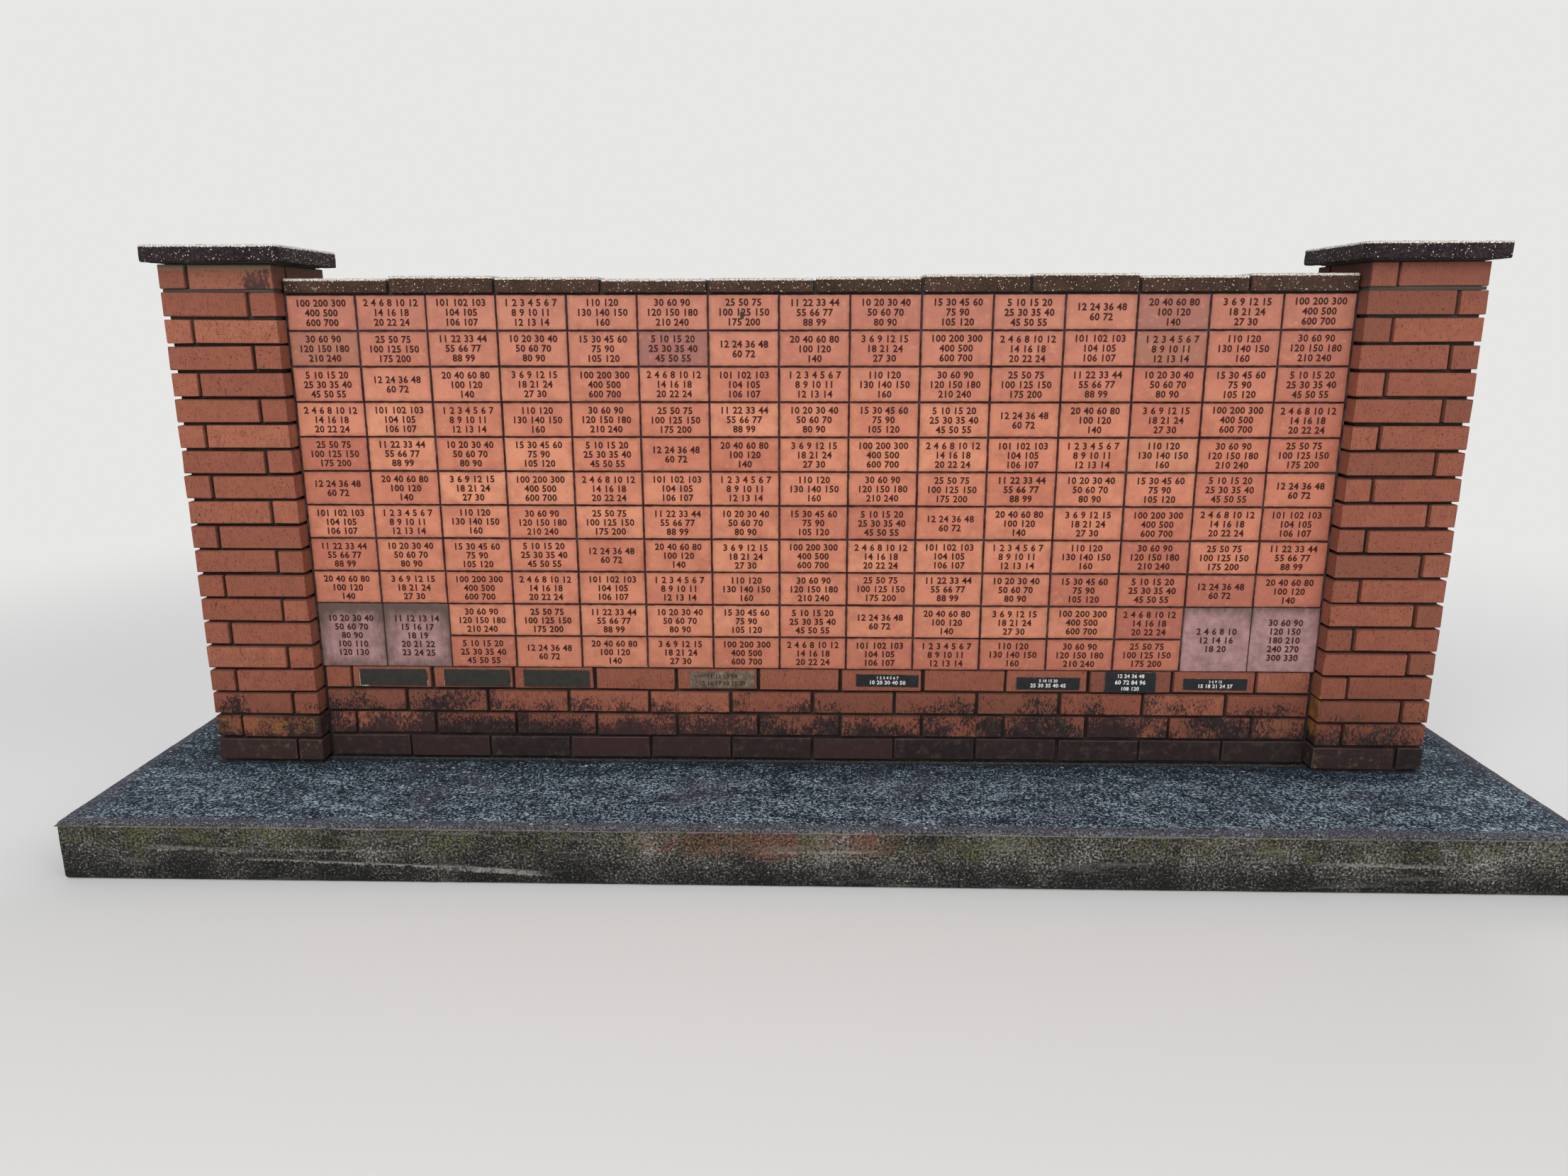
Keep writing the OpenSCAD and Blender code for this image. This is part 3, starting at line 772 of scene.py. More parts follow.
def lime_mask(tree, along, height, ragged, fine):
    """The lines of lime, broken up."""
    limed = 0.0
    for start, end, start_z, end_z, half, strength in POUR_LINES:
        slope = (end_z - start_z) / (end - start)
        middle = plinth_low.z + start_z - slope * start + NOISE_MIDDLE
        level = put(tree, "ShaderNodeMath", {0: along, 1: -slope, 2: height},
                    operation="MULTIPLY_ADD")
        level = put(tree, "ShaderNodeMath", {0: ragged, 1: ROUGH_BY, 2: level},
                    operation="MULTIPLY_ADD")
        level = put(tree, "ShaderNodeMath", {0: fine, 1: FINE_BY, 2: level},
                    operation="MULTIPLY_ADD")
        line = inside(tree, (level, middle - half, middle + half, 0.002),
                      (along, start + 0.04, end - 0.04, 0.1))
        line = put(tree, "ShaderNodeMath", {0: line, 1: strength}, operation="MULTIPLY")
        limed = put(tree, "ShaderNodeMath", {0: line, 1: limed}, operation="MAXIMUM")
    broken = put(tree, "ShaderNodeMath", {0: fine, 1: ragged}, operation="ADD")
    broken = put(tree, "ShaderNodeMapRange", {"Value": broken, "From Min": 0.88, "From Max": 1.06,
                                              "To Min": 0.1, "To Max": 0.95})
    return put(tree, "ShaderNodeMath", {0: limed, 1: broken}, operation="MULTIPLY")


print("drew", len(POUR_LINES), "lines of lime")

# %% [markdown]
# ## Concrete of the plinth
# One material holds both finishes. The surface's own direction picks between them: where it
# faces up, the worn top shows, and elsewhere the stained side. Below the tooled edge the thin
# fin of cement paste is painted pale, a painted highlight along its lip.

# %% Make the cast concrete
def cast_concrete():
    """Cast concrete: worn to the grain on top, mossy, stained and limed down its sides."""
    material, tree, shader, place = new_material("board_cast_concrete")
    axes = put(tree, "ShaderNodeSeparateXYZ", {"Vector": place}).node
    along, across, height = (axes.outputs[axis] for axis in "XYZ")
    stain = put(tree, "ShaderNodeTexNoise", {"Vector": place, "Scale": 5.0, "Detail": 8.0,
                                             "Roughness": 0.7})
    grain = put(tree, "ShaderNodeTexNoise", {"Vector": place, "Scale": 145.0, "Detail": 3.0,
                                             "Roughness": 0.7})
    grit = put(tree, "ShaderNodeTexNoise", {"Vector": place, "Scale": 260.0, "Detail": 3.0,
                                            "Roughness": 0.75})
    top_in_painted_shade = coated(tree, worn_top(tree, place, along, across, grain, grit),
                 *foot_coats(tree, along, across, grit))
    # the sides' grains of 5 mm are drawn at 7 mm, so that they show
    fine = put(tree, "ShaderNodeTexNoise", {"Vector": place, "Scale": 145.0, "Detail": 4.0,
                                            "Roughness": 0.8})
    ragged = put(tree, "ShaderNodeTexNoise", {"Vector": place, "Scale": 30.0, "Detail": 7.0,
                                              "Roughness": 0.75})
    # fainter level bloom everywhere, as wide as the boards
    board_place = put(tree, "ShaderNodeMapping", {"Vector": place, "Scale": (0.12, 0.12, 1.0)})
    boards = put(tree, "ShaderNodeTexNoise", {"Vector": board_place, "Scale": 34.0, "Detail": 6.0,
                                              "Roughness": 0.6})
    bloom = put(tree, "ShaderNodeMapRange", {"Value": boards, "From Min": 0.58, "From Max": 0.72,
                                             "To Max": 0.26})
    lime = lime_mask(tree, along, height, ragged, fine)
    lime = put(tree, "ShaderNodeMath", {0: lime, 1: bloom}, operation="MAXIMUM")
    # the fin's pale line is a painted highlight along the lip of paste
    fin = within(tree, height, plinth_high.z - 0.0152, plinth_high.z - 0.0118, 0.0006)
    fin_gap = put(tree, "ShaderNodeMapRange", {"Value": ragged, "From Min": 0.4, "From Max": 0.52,
                                               "To Min": 0.1, "To Max": 0.85})
    fin = put(tree, "ShaderNodeMath", {0: fin, 1: fin_gap}, operation="MULTIPLY")
    side = stained_side(tree, place, along, height, stain, grain, fine)
    side = coated(tree, side, (lime, "#94928a"), (fin, "#98938b"))
    normal = put(tree, "ShaderNodeNewGeometry", result="Normal")
    facing = put(tree, "ShaderNodeSeparateXYZ", {"Vector": normal}, result="Z")
    facing_up = put(tree, "ShaderNodeMapRange", {"Value": facing, "From Min": 0.2,
                                                 "From Max": 0.6})
    relief = put(tree, "ShaderNodeMath", {0: boards, 1: 0.8, 2: grain}, operation="MULTIPLY_ADD")
    dress(tree, shader, coated(tree, side, (facing_up, top_in_painted_shade)), 0.88, 0.2, (relief, 1.0, 0.006))
    return material


plinth_concrete = cast_concrete()
print("made", plinth_concrete.name, "of", len(plinth_concrete.node_tree.nodes), "nodes")

# %% [markdown]
# ## Selecting and joining
# Operators act on all that is selected, so each step first clears the selection.
# Many small bricks are slow to handle, so each leaf of brickwork is joined into one mesh.

# %% Selection helpers
def select_only(*objects):
    """Selects these objects and makes the first one active."""
    bpy.ops.object.select_all(action="DESELECT")
    for obj in objects:
        obj.select_set(True)
    bpy.context.view_layer.objects.active = objects[0]


def join_as(name, parts):
    """Joins the parts into one piece whose place is in its mesh."""
    select_only(*parts)
    if len(parts) > 1:
        bpy.ops.object.join()
    bpy.ops.object.transform_apply(location=True, rotation=True, scale=True)
    piece = bpy.context.view_layer.objects.active
    piece.name = name
    piece.data.name = name
    return piece


bpy.ops.object.select_all(action="DESELECT")
print("selection is clear")

# %% [markdown]
# ## One brick, then many
# A brick is a cube primitive at its size with its edges bevelled by 2 mm, as the kiln and the
# hod leave them. It has few faces, because the wall repeats it hundreds of times. Each copy
# gets its own mesh: a slip of about a millimetre, a small tilt, corners that wander by half a
# millimetre, and its own firing.

# %% Model a block and lay copies of it
def worn_block(name, size, arris, material):
    """A block at the origin, its edges worn back by arris."""
    bpy.ops.object.select_all(action="DESELECT")
    bpy.ops.mesh.primitive_cube_add(size=1)
    block = bpy.context.view_layer.objects.active
    block.name = name
    block.scale = size
    bpy.ops.object.transform_apply(location=False, rotation=False, scale=True)
    bpy.ops.object.mode_set(mode="EDIT")
    bpy.ops.mesh.select_all(action="SELECT")
    bpy.ops.mesh.bevel(offset=arris, segments=1, affect="EDGES")
    bpy.ops.object.mode_set(mode="OBJECT")
    block.data.materials.append(material)
    block.data.attributes.new("firing", "FLOAT", "POINT")
    return block


def lay(unit, at, turn=0.0, slip=0.0008, tilt=0.003, firing=None, wander=0.0005):
    """A copy of the block in its place, as true as a mason's eye."""
    block = unit.copy()
    block.data = unit.data.copy()
    scene.collection.objects.link(block)
    block.location = Vector(at) + Vector(chance.normal(0, slip, 3).clip(-2 * slip, 2 * slip))
    block.rotation_euler = Euler((*chance.normal(0, tilt, 2).clip(-2 * tilt, 2 * tilt), turn))
    points = block.data.vertices
    spots = np.empty(len(points) * 3, np.float32)
    points.foreach_get("co", spots)
    spots += chance.normal(0, wander, len(spots)).clip(-2 * wander, 2 * wander)
    points.foreach_set("co", spots)
    tone = float(chance.random()) if firing is None else firing
    values = block.data.attributes["firing"].data
    values.foreach_set("value", np.full(len(values), tone, np.float32))
    return block


def retire(*units):
    """Removes the pattern blocks once their copies are laid."""
    for unit in units:
        bpy.data.objects.remove(unit)


BRICK_ARRIS = 0.002
whole_brick = worn_block("whole_brick", (BRICK_L, BRICK_D, BRICK_H), BRICK_ARRIS, brick_clay)
print("a brick has", len(whole_brick.data.polygons), "faces")

# %% [markdown]
# ## Piers
# Each course of a pier is a pinwheel: four bricks, each running past the end of the next. The
# next course is laid the other way round, so that no upright joint lies over another. The
# mortar is raked back deep, so it is a separate, smaller core behind the bricks.

# %% Build the piers
RAKE = 0.0145


def mortar_block(low, high, material=mortar):
    """A plain bed of mortar between two corners, hidden but for its raked face."""
    low, high = Vector(low), Vector(high)
    bpy.ops.object.select_all(action="DESELECT")
    bpy.ops.mesh.primitive_cube_add(size=1, location=(low + high) / 2)
    block = bpy.context.view_layer.objects.active
    block.scale = high - low
    block.data.materials.append(material)
    return block


def build_pier(node, tone_low, tone_high):
    """Pinwheel courses over a core of mortar, one piece for one CAD pier."""
    low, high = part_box(node)
    middle = (low + high) / 2
    half = (high.x - low.x) / 2
    parts = []
    courses = round((high.z - low.z) / COURSE)
    for course in range(courses):
        hand = 1 if course % 2 == 0 else -1
        bottom = low.z + course * COURSE
        z = bottom + BED + BRICK_H / 2
        first = Vector((hand * (-half + BRICK_L / 2), -half + BRICK_D / 2, z))
        for quarter in range(4):
            turn = hand * quarter * math.pi / 2
            spot = Matrix.Rotation(turn, 3, "Z") @ first
            parts.append(lay(whole_brick, (middle.x + spot.x, middle.y + spot.y, z), turn,
                             firing=chance.uniform(tone_low, tone_high)))
        # the last bed was filled nearly flush
        inner = half - (chance.uniform(0.011, 0.015) if course < courses - 1 else 0.005)
        parts.append(mortar_block((middle.x - inner, middle.y - inner, bottom),
                                  (middle.x + inner, middle.y + inner, bottom + BED)))
    core = half - RAKE
    parts.append(mortar_block((middle.x - core, middle.y - core, low.z),
                              (middle.x + core, middle.y + core, high.z)))
    piece = join_as(node + "_brickwork", parts)
    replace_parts(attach(piece, "root"), node)
    print(piece.name, "has", len(piece.data.polygons), "faces")


build_pier("left_pier", 0.2, 1.0)
build_pier("right_pier", 0.0, 0.7)

# %% [markdown]
# ## Courses of the wall
# Under the tablets lie four courses in running bond. The first and third hold twelve whole
# bricks. The second and fourth start with a short piece and end with a longer one,
# so their joints fall between those below. The back leaf repeats the same bond up to the coping.

# %% Build the courses
BASE_COURSES, BACK_COURSES = 4, 19
WHOLE_BRICKS = 12
SHORT_PIECE = 0.077


def course_places(offset_course):
    """Start and length of each brick of a course, counted from the left end joint."""
    clear = right_low.x - left_high.x - 2 * END_JOINT
    step = BRICK_L + HEAD
    if not offset_course:
        return [(i * step, BRICK_L) for i in range(WHOLE_BRICKS)]
    starts = [SHORT_PIECE + HEAD + i * step for i in range(WHOLE_BRICKS)]
    wholes = [(start, BRICK_L) for start in starts[:-1]]
    return [(0.0, SHORT_PIECE), *wholes, (starts[-1], clear - starts[-1])]


def build_courses(name, node, courses, face_y, into, rake):
    """Running bond against one face of the wall; into is the way into the wall, along Y."""
    low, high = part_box(node)
    units = {}
    parts = []
    for course in range(courses):
        bottom = low.z + course * COURSE + BED
        height = min(BRICK_H, high.z - bottom)
        for start, length in course_places(course % 2 == 1):
            key = (round(length, 4), round(height, 4))
            if key not in units:
                units[key] = worn_block("cut_brick", (length, BRICK_D, height), BRICK_ARRIS,
                                        brick_clay)
            x = left_high.x + END_JOINT + start + length / 2
            parts.append(lay(units[key], (x, face_y + into * BRICK_D / 2, bottom + height / 2)))
    retire(*units.values())
    front, rear = sorted((face_y + into * rake, face_y + into * BRICK_D))
    parts.append(mortar_block((low.x, front, low.z), (high.x, rear, high.z)))
    piece = join_as(name, parts)
    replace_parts(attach(piece, "root"), node)
    print(piece.name, "has", len(piece.data.polygons), "faces")


build_courses("base_brickwork", "base_courses", BASE_COURSES, base_low.y, 1, 0.013)
build_courses("back_brickwork", "back_courses", BACK_COURSES, back_high.y, -1, 0.012)
retire(whole_brick)

# %% [markdown]
# ## Numbers for the tablets
# Each tablet is engraved in two or three centred lines and filled dark. Here the lines hold plain
# numbers, as on dials and scales. Blender's own font is set once per pattern, turned into a
# mesh and stood upright. A copy then takes the exact slip and tilt of its tablet.

# %% Set the numbers
STROKE_WEIGHT = 0.027
LETTER_SPACE = 1.06


def number_lines(name, lines, size, pitch, enamel):
    """Centred lines of numbers in the XZ plane, facing the front of the wall."""
    bpy.ops.object.select_all(action="DESELECT")
    bpy.ops.object.text_add()
    text = bpy.context.view_layer.objects.active
    text.data.body = "\n".join(lines)
    text.data.size = size
    text.data.space_line = pitch / size
    text.data.align_x = "CENTER"
    text.data.offset = STROKE_WEIGHT * size
    text.data.space_character = LETTER_SPACE
    text.data.resolution_u = 2
    bpy.ops.object.convert(target="MESH")
    text = bpy.context.view_layer.objects.active
    text.name = name
    heights = [v.co.y for v in text.data.vertices]
    text.location = (0, 0, -(min(heights) + max(heights)) / 2)
    text.rotation_euler = (math.pi / 2, 0, 0)
    bpy.ops.object.transform_apply(location=True, rotation=True, scale=True)
    text.data.materials.append(enamel)
    return text


TABLET_LINES = (("10 20 30 40", "50 60 70", "80 90"), ("12 24 36 48", "60 72"),
                ("100 200 300", "400 500", "600 700"), ("1 2 3 4 5 6 7", "8 9 10 11", "12 13 14"),
                ("25 50 75", "100 125 150", "175 200"), ("15 30 45 60", "75 90", "105 120"),
                ("20 40 60 80", "100 120", "140"), ("2 4 6 8 10 12", "14 16 18", "20 22 24"),
                ("110 120", "130 140 150", "160"), ("11 22 33 44", "55 66 77", "88 99"),
                ("5 10 15 20", "25 30 35 40", "45 50 55"), ("3 6 9 12 15", "18 21 24", "27 30"),
                ("101 102 103", "104 105", "106 107"), ("30 60 90", "120 150 180", "210 240"))
TEXT_SIZE, TEXT_PITCH = 0.028, 0.0278
patterns = [number_lines(f"numbers_{i:02d}", lines, TEXT_SIZE, TEXT_PITCH, dark_enamel)
            for i, lines in enumerate(TABLET_LINES)]
SQUARE_LINES = (("10 20 30 40", "50 60 70", "80 90", "100 110", "120 130"),
                ("11 12 13 14", "15 16 17", "18 19", "20 21 22", "23 24 25"),
                ("2 4 6 8 10", "12 14 16", "18 20"),
                ("30 60 90", "120 150", "180 210", "240 270", "300 330"))
square_patterns = [number_lines(f"square_numbers_{i}", lines, TEXT_SIZE, TEXT_PITCH, dark_enamel)
                   for i, lines in enumerate(SQUARE_LINES)]
print("set", len(patterns) + len(square_patterns), "patterns of numbers")

# %% [markdown]
# ## Tablets
# A tablet is a flat pressed block. Rows are laid one straight over another, in stack bond,
# so a small slip shows at once: each tablet gets its own. The lowest two rows make room
# for two square tablets at each end.

# %% Build the rows of tablets
THIN_RAKE = 0.0045
STROKE_LIFT = 0.0007


def column_x(column):
    """The middle of a tablet's column."""
    return FIELD_X + column * (TABLET_L + THIN_JOINT) + TABLET_L / 2


def row_z(row):
    """The underside of a row's tablets, counted from 0 at the bottom."""
    return FIELD_Z + THIN_JOINT + row * (TABLET_H + THIN_JOINT)


def engrave(pattern, block, lift, rise=0.0):
    """A copy of the numbers just proud of the block's front face, with the block's own tilt."""
    numbers = pattern.copy()
    numbers.data = pattern.data.copy()
    scene.collection.objects.link(numbers)
    tilt = Matrix.LocRotScale(block.location, block.rotation_euler, (1, 1, 1))
    numbers.matrix_world = tilt @ Matrix.Translation((0, -lift, rise))
    return numbers


def tablet_piece(name, node, unit, columns, z, height, choose):
    """Tablets in one bed of thin mortar, with their filled numbers."""
    low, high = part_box(node)
    parts = []
    for column in columns:
        at = (column_x(column), FACE_Y + TABLET_T / 2, z + height / 2)
        pattern, firing = choose(column)
        laid = lay(unit, at, slip=0.0007, tilt=0.0026, firing=firing, wander=0.0003)
        parts += [laid, engrave(pattern, laid, TABLET_T / 2 + STROKE_LIFT)]
    parts.append(mortar_block((low.x, FACE_Y + THIN_RAKE, low.z), high, thin_mortar))
    piece = join_as(name, parts)
    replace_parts(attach(piece, "root"), node)
    return piece


tablet = worn_block("tablet", (TABLET_L, TABLET_T, TABLET_H), 0.0018, tablet_clay)
square = worn_block("square_tablet", (TABLET_L, TABLET_T, SQUARE_H), 0.0022, square_clay)
# row and column of the tablets that were fired hotter, and their firing
HOT_FIRED = {(9, 5): 1.0, (10, 12): 0.95, (9, 0): 0.9, (9, 12): 0.92, (6, 12): 0.87}


def choose_tablet(row):
    """The numbers and the firing of each tablet in a row: the ends and the foot are darker."""
    def choose(column):
        usual = 0.52 - 0.24 * (column > 11) - 0.1 * (column == 0) - 0.14 * (row == 0)
        usual -= 0.2 * (row in (2, 3) and column in (0, 14))
        firing = HOT_FIRED.get((row, column), float(np.clip(chance.normal(usual, 0.13), 0, 0.85)))
        return patterns[(5 * column + 3 * row) % len(patterns)], firing
    return choose


for row in range(TABLET_ROWS):
    columns = range(2, TABLET_COLUMNS - 2) if row < 2 else range(TABLET_COLUMNS)
    row_piece = tablet_piece(f"tablets_of_row_{row + 1:02d}", f"tablet_row_{row + 1:02d}",
                             tablet, columns, row_z(row), TABLET_H, choose_tablet(row))
for end, first in (("left", 0), ("right", TABLET_COLUMNS - 2)):
    squares = tablet_piece(end + "_squares", end + "_square_tablets", square, (first, first + 1),
                           row_z(0), SQUARE_H,
                           lambda c: (square_patterns[c if c < 2 else c - 11], 0.5))
retire(tablet, square, *patterns, *square_patterns)
print("laid", TABLET_ROWS, "rows of tablets and four squares")

# %% [markdown]
# ## Plates on the fourth course
# Eight thin plates are glued to the bricks under the tablets. Three bronze ones are bare, a
# brass one keeps faded numbers, and four black ones carry white numbers. A plate is 1.6 mm thick
# with a bevelled edge, and an inset loop marks its rim, where the finish has rubbed through.
# On two of the bronze ones the old white adhesive has squeezed out past the corners.

# %% Glue on the plates
PLATE_T, PLATE_RIM = 0.0016, 0.003


def plate(name, start, end, height, metal, lines=(), enamel=white_enamel, drop=0.0, beads=()):
    """A thin plate on the fourth course, between two places, with lines of set size and height."""
    bpy.ops.object.select_all(action="DESELECT")
    bpy.ops.mesh.primitive_cube_add(size=1)
    sheet = bpy.context.view_layer.objects.active
    sheet.name = name
    sheet.scale = (end - start, PLATE_T, height)
    bpy.ops.object.transform_apply(location=False, rotation=False, scale=True)
    bpy.ops.object.mode_set(mode="EDIT")
    bpy.ops.mesh.select_all(action="SELECT")
    bpy.ops.mesh.bevel(offset=0.0005, segments=2, affect="EDGES")
    bpy.ops.mesh.select_mode(type="FACE")
    bpy.ops.mesh.select_all(action="DESELECT")
    shape = bmesh.from_edit_mesh(sheet.data)
    for face in shape.faces:
        face.select_set(face.normal.y < -0.99)
    bmesh.update_edit_mesh(sheet.data)
    bpy.ops.mesh.inset(thickness=PLATE_RIM, depth=0.0)
    bpy.ops.object.mode_set(mode="OBJECT")
    rim = sheet.data.attributes.new("rim", "FLOAT", "POINT")
    # the inset loop lies inside these limits, and the plate's edges lie beyond them
    half = ((end - start) / 2 - PLATE_RIM - 0.0002, height / 2 - PLATE_RIM - 0.0002)
    rim.data.foreach_set("value", [0.0 if abs(v.co.x) < half[0] and abs(v.co.z) < half[1]
                                   else 1.0 for v in sheet.data.vertices])
    sheet.data.materials.append(metal)
    at = Vector(((start + end) / 2, FACE_Y - 0.0022, base_high.z - BRICK_H / 2 - drop))
    sheet.location = at
    sheet.rotation_euler = (0, float(chance.normal(0, 0.004)), 0)
    parts = [sheet]
    for line, size, rise in lines:
        numbers = number_lines("plate_numbers", (line,), size, size, enamel)
        parts.append(engrave(numbers, sheet, 0.0009, rise))
        retire(numbers)
    for x, z, length, tall in beads:
        bead = worn_block("bead", (length, 0.002, tall), 0.0006, old_adhesive)
        parts.append(lay(bead, at + Vector((x, 0.0003, z)), wander=0.0003))
        retire(bead)
    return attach(join_as(name, parts), "root")


old_adhesive = stroke_enamel("old_adhesive", ((0.35, "#8f8a80"), (0.65, "#c9c6bd")))
plate("bronze_plate_1", -1.432, -1.218, 0.055, bronze_plate,
      beads=((-0.1075, -0.004, 0.0018, 0.044), (-0.093, -0.0275, 0.026, 0.0028),
             (0.107, 0.022, 0.0022, 0.01), (0.1085, -0.018, 0.0018, 0.016)))
plate("bronze_plate_2", -1.163, -0.954, 0.055, bronze_plate,
      beads=((-0.105, -0.018, 0.0018, 0.018), (-0.106, 0.02, 0.0016, 0.01),
             (0.1045, -0.021, 0.0022, 0.011)))
plate("bronze_plate_3", -0.911, -0.702, 0.055, bronze_plate)
plate("brass_plate", -0.386, -0.182, 0.054, brass_plate,
      (("11 12 13 14", 0.0185, 0.011), ("15 16 17 18 19 20", 0.0185, -0.012)), faded_enamel)
plate("black_plate_1", 0.136, 0.331, 0.040, black_plate,
      (("1 2 3 4 5 6 7", 0.0125, 0.0095), ("10 20 30 40 50", 0.0175, -0.006)))
plate("black_plate_2", 0.636, 0.832, 0.040, black_plate,
      (("5 10 15 20", 0.0125, 0.0095), ("25 30 35 40 45", 0.017, -0.006)), drop=0.006)
plate("black_plate_3", 0.909, 1.066, 0.066, black_plate,
      (("12 24 36 48", 0.0165, 0.0205), ("60 72 84 96", 0.0185, 0.0), ("108 120", 0.0165, -0.0205)))
plate("black_plate_4", 1.151, 1.348, 0.037, black_plate,
      (("3 6 9 12", 0.0115, 0.009), ("15 18 21 24 27", 0.0165, -0.0055)), drop=0.005)

# %% [markdown]
# ## A daub of mud
# A wasp has left a small daub of mud on the seventh tablet of the top row. It starts as a ball
# with few faces, pulled long and pressed flat, its points pushed about at random.

# %% Press on the mud
mud, tree, shader, place = new_material("dried_mud")
damp = put(tree, "ShaderNodeTexNoise", {"Vector": place, "Scale": 250.0, "Detail": 3.0})
tone = put(tree, "ShaderNodeValToRGB", {"Fac": damp}, stops=((0.4, "#241e19"), (0.65, "#4d443a")))
dress(tree, shader, tone, 0.95, 0.5)
bpy.ops.object.select_all(action="DESELECT")
bpy.ops.mesh.primitive_ico_sphere_add(subdivisions=2, radius=1, location=(
    column_x(6) - 0.004, FACE_Y - 0.001, row_z(10) + 0.042))
daub = bpy.context.view_layer.objects.active
daub.scale = (0.0056, 0.0035, 0.0120)
bpy.ops.object.mode_set(mode="EDIT")
bpy.ops.mesh.select_all(action="SELECT")
bpy.ops.transform.vertex_random(offset=0.16, seed=3)
bpy.ops.object.mode_set(mode="OBJECT")
daub.data.materials.append(mud)
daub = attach(join_as("mud_daub", [daub]), "root")
print("the daub has", len(daub.data.polygons), "faces")

# %% [markdown]
# ## Rough-cast slabs
# The caps, the coping blocks and the plinth are cast concrete. Each starts as a cube
# primitive with rounded edges. Its long faces are then cut into a fine grid, so
# that a Displace modifier has points to push inwards by a few millimetres: pits, worn
# edges and a surface that is never quite flat. The push only goes inwards, so no size grows.

# %% Model a rough-cast slab
def cast_slab(name, low, high, edge, cell, material, segments=3):
    """A slab with rounded edges, its faces cut into cells of about the given size."""
    low, high = Vector(low), Vector(high)
    size = high - low
    bpy.ops.object.select_all(action="DESELECT")
    bpy.ops.mesh.primitive_cube_add(size=1, location=(low + high) / 2)
    slab = bpy.context.view_layer.objects.active
    slab.name = name
    slab.scale = size
    bpy.ops.object.transform_apply(location=True, rotation=False, scale=True)
    bpy.ops.object.mode_set(mode="EDIT")
    bpy.ops.mesh.select_mode(type="EDGE")
    bpy.ops.mesh.select_all(action="SELECT")
    bpy.ops.mesh.bevel(offset=edge, segments=segments, affect="EDGES")
    for axis in range(3):
        bpy.ops.mesh.select_all(action="DESELECT")
        shape = bmesh.from_edit_mesh(slab.data)
        for line in shape.edges:
            way = line.verts[1].co - line.verts[0].co
            line.select_set(abs(way[axis]) > max(0.98 * way.length, 0.4 * size[axis]))
        bmesh.update_edit_mesh(slab.data)
        bpy.ops.mesh.subdivide(number_cuts=max(round(size[axis] / cell) - 1, 1))
    bpy.ops.object.mode_set(mode="OBJECT")
    bpy.ops.object.shade_smooth_by_angle(angle=math.radians(50))
    slab.data.materials.append(material)
    return slab


def weather(slab, depth, grain):
    """Pushes the surface in by up to depth, in hollows of about the grain's size."""
    clouds = bpy.data.textures.new(slab.name + "_hollows", "CLOUDS")
    clouds.noise_scale = grain
    clouds.noise_depth = 3
    select_only(slab)
    bpy.ops.object.modifier_add(type="DISPLACE")
    push = slab.modifiers[-1]
    push.texture = clouds
    push.mid_level = 1.0
    push.strength = depth
    bpy.ops.object.modifier_apply(modifier=push.name)


def wear_corners(slab, radius):
    """Pulls the points near the four upright corners in, so that squares become circles."""
    points = slab.data.vertices
    spans = []
    for i in (0, 1):
        reach = [p.co[i] for p in points]
        spans.append(((max(reach) + min(reach)) / 2, (max(reach) - min(reach)) / 2 - radius))
    for p in points:
        out = [abs(p.co[i] - middle) - flat for i, (middle, flat) in enumerate(spans)]
        if min(out) > 0:
            pull = max(out) / math.hypot(*out)
            for i, (middle, flat) in enumerate(spans):
                p.co[i] = middle + math.copysign(flat + out[i] * pull, p.co[i] - middle)


def mark_depth(slab, top_z):
    """Gives every point its depth below the slab's own top."""
    depth = slab.data.attributes.new("under_top", "FLOAT", "POINT")
    depth.data.foreach_set("value", [top_z - v.co.z for v in slab.data.vertices])


print("slab tools ready")

# %% [markdown]
# ## Coping
# Ten blocks cover the wall between the piers. The masons set them by hand, and their tops step up
# and down by up to 13 mm. The mortar in the 6 mm joints has weathered back, so they read as
# dark lines, and the bed under the blocks stands back in their shadow.

# %% Lay the coping blocks
COPING_JOINT, COPING_BED, COPING_FILL = 0.006, 0.005, 0.0395
BED_BACK = 0.022
for i in range(1, 11):
    node = f"coping_block_{i:02d}"
    low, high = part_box(node)
    start = low.x + COPING_JOINT
    end = high.x - (COPING_JOINT if i == 10 else 0.0)
    block = cast_slab("weathered_" + node, (start, low.y, low.z + COPING_BED),
                      (end, high.y, high.z), edge=0.0045, cell=0.011, material=coping_concrete)
    weather(block, depth=0.0026, grain=0.012)
    mark_depth(block, high.z)
    bed = mortar_block((low.x, low.y + BED_BACK, low.z),
                       (high.x, high.y - BED_BACK, low.z + COPING_FILL))
    piece = join_as("weathered_" + node, [block, bed])
    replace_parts(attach(piece, "root"), node)
print("laid ten coping blocks of", len(piece.data.polygons), "faces")

# %% [markdown]
# ## Caps
# Each pier carries one square slab that overhangs it on all sides, on a thin bed of mortar.
# Frost has rounded its upright corners too, so the points near them are pulled in.

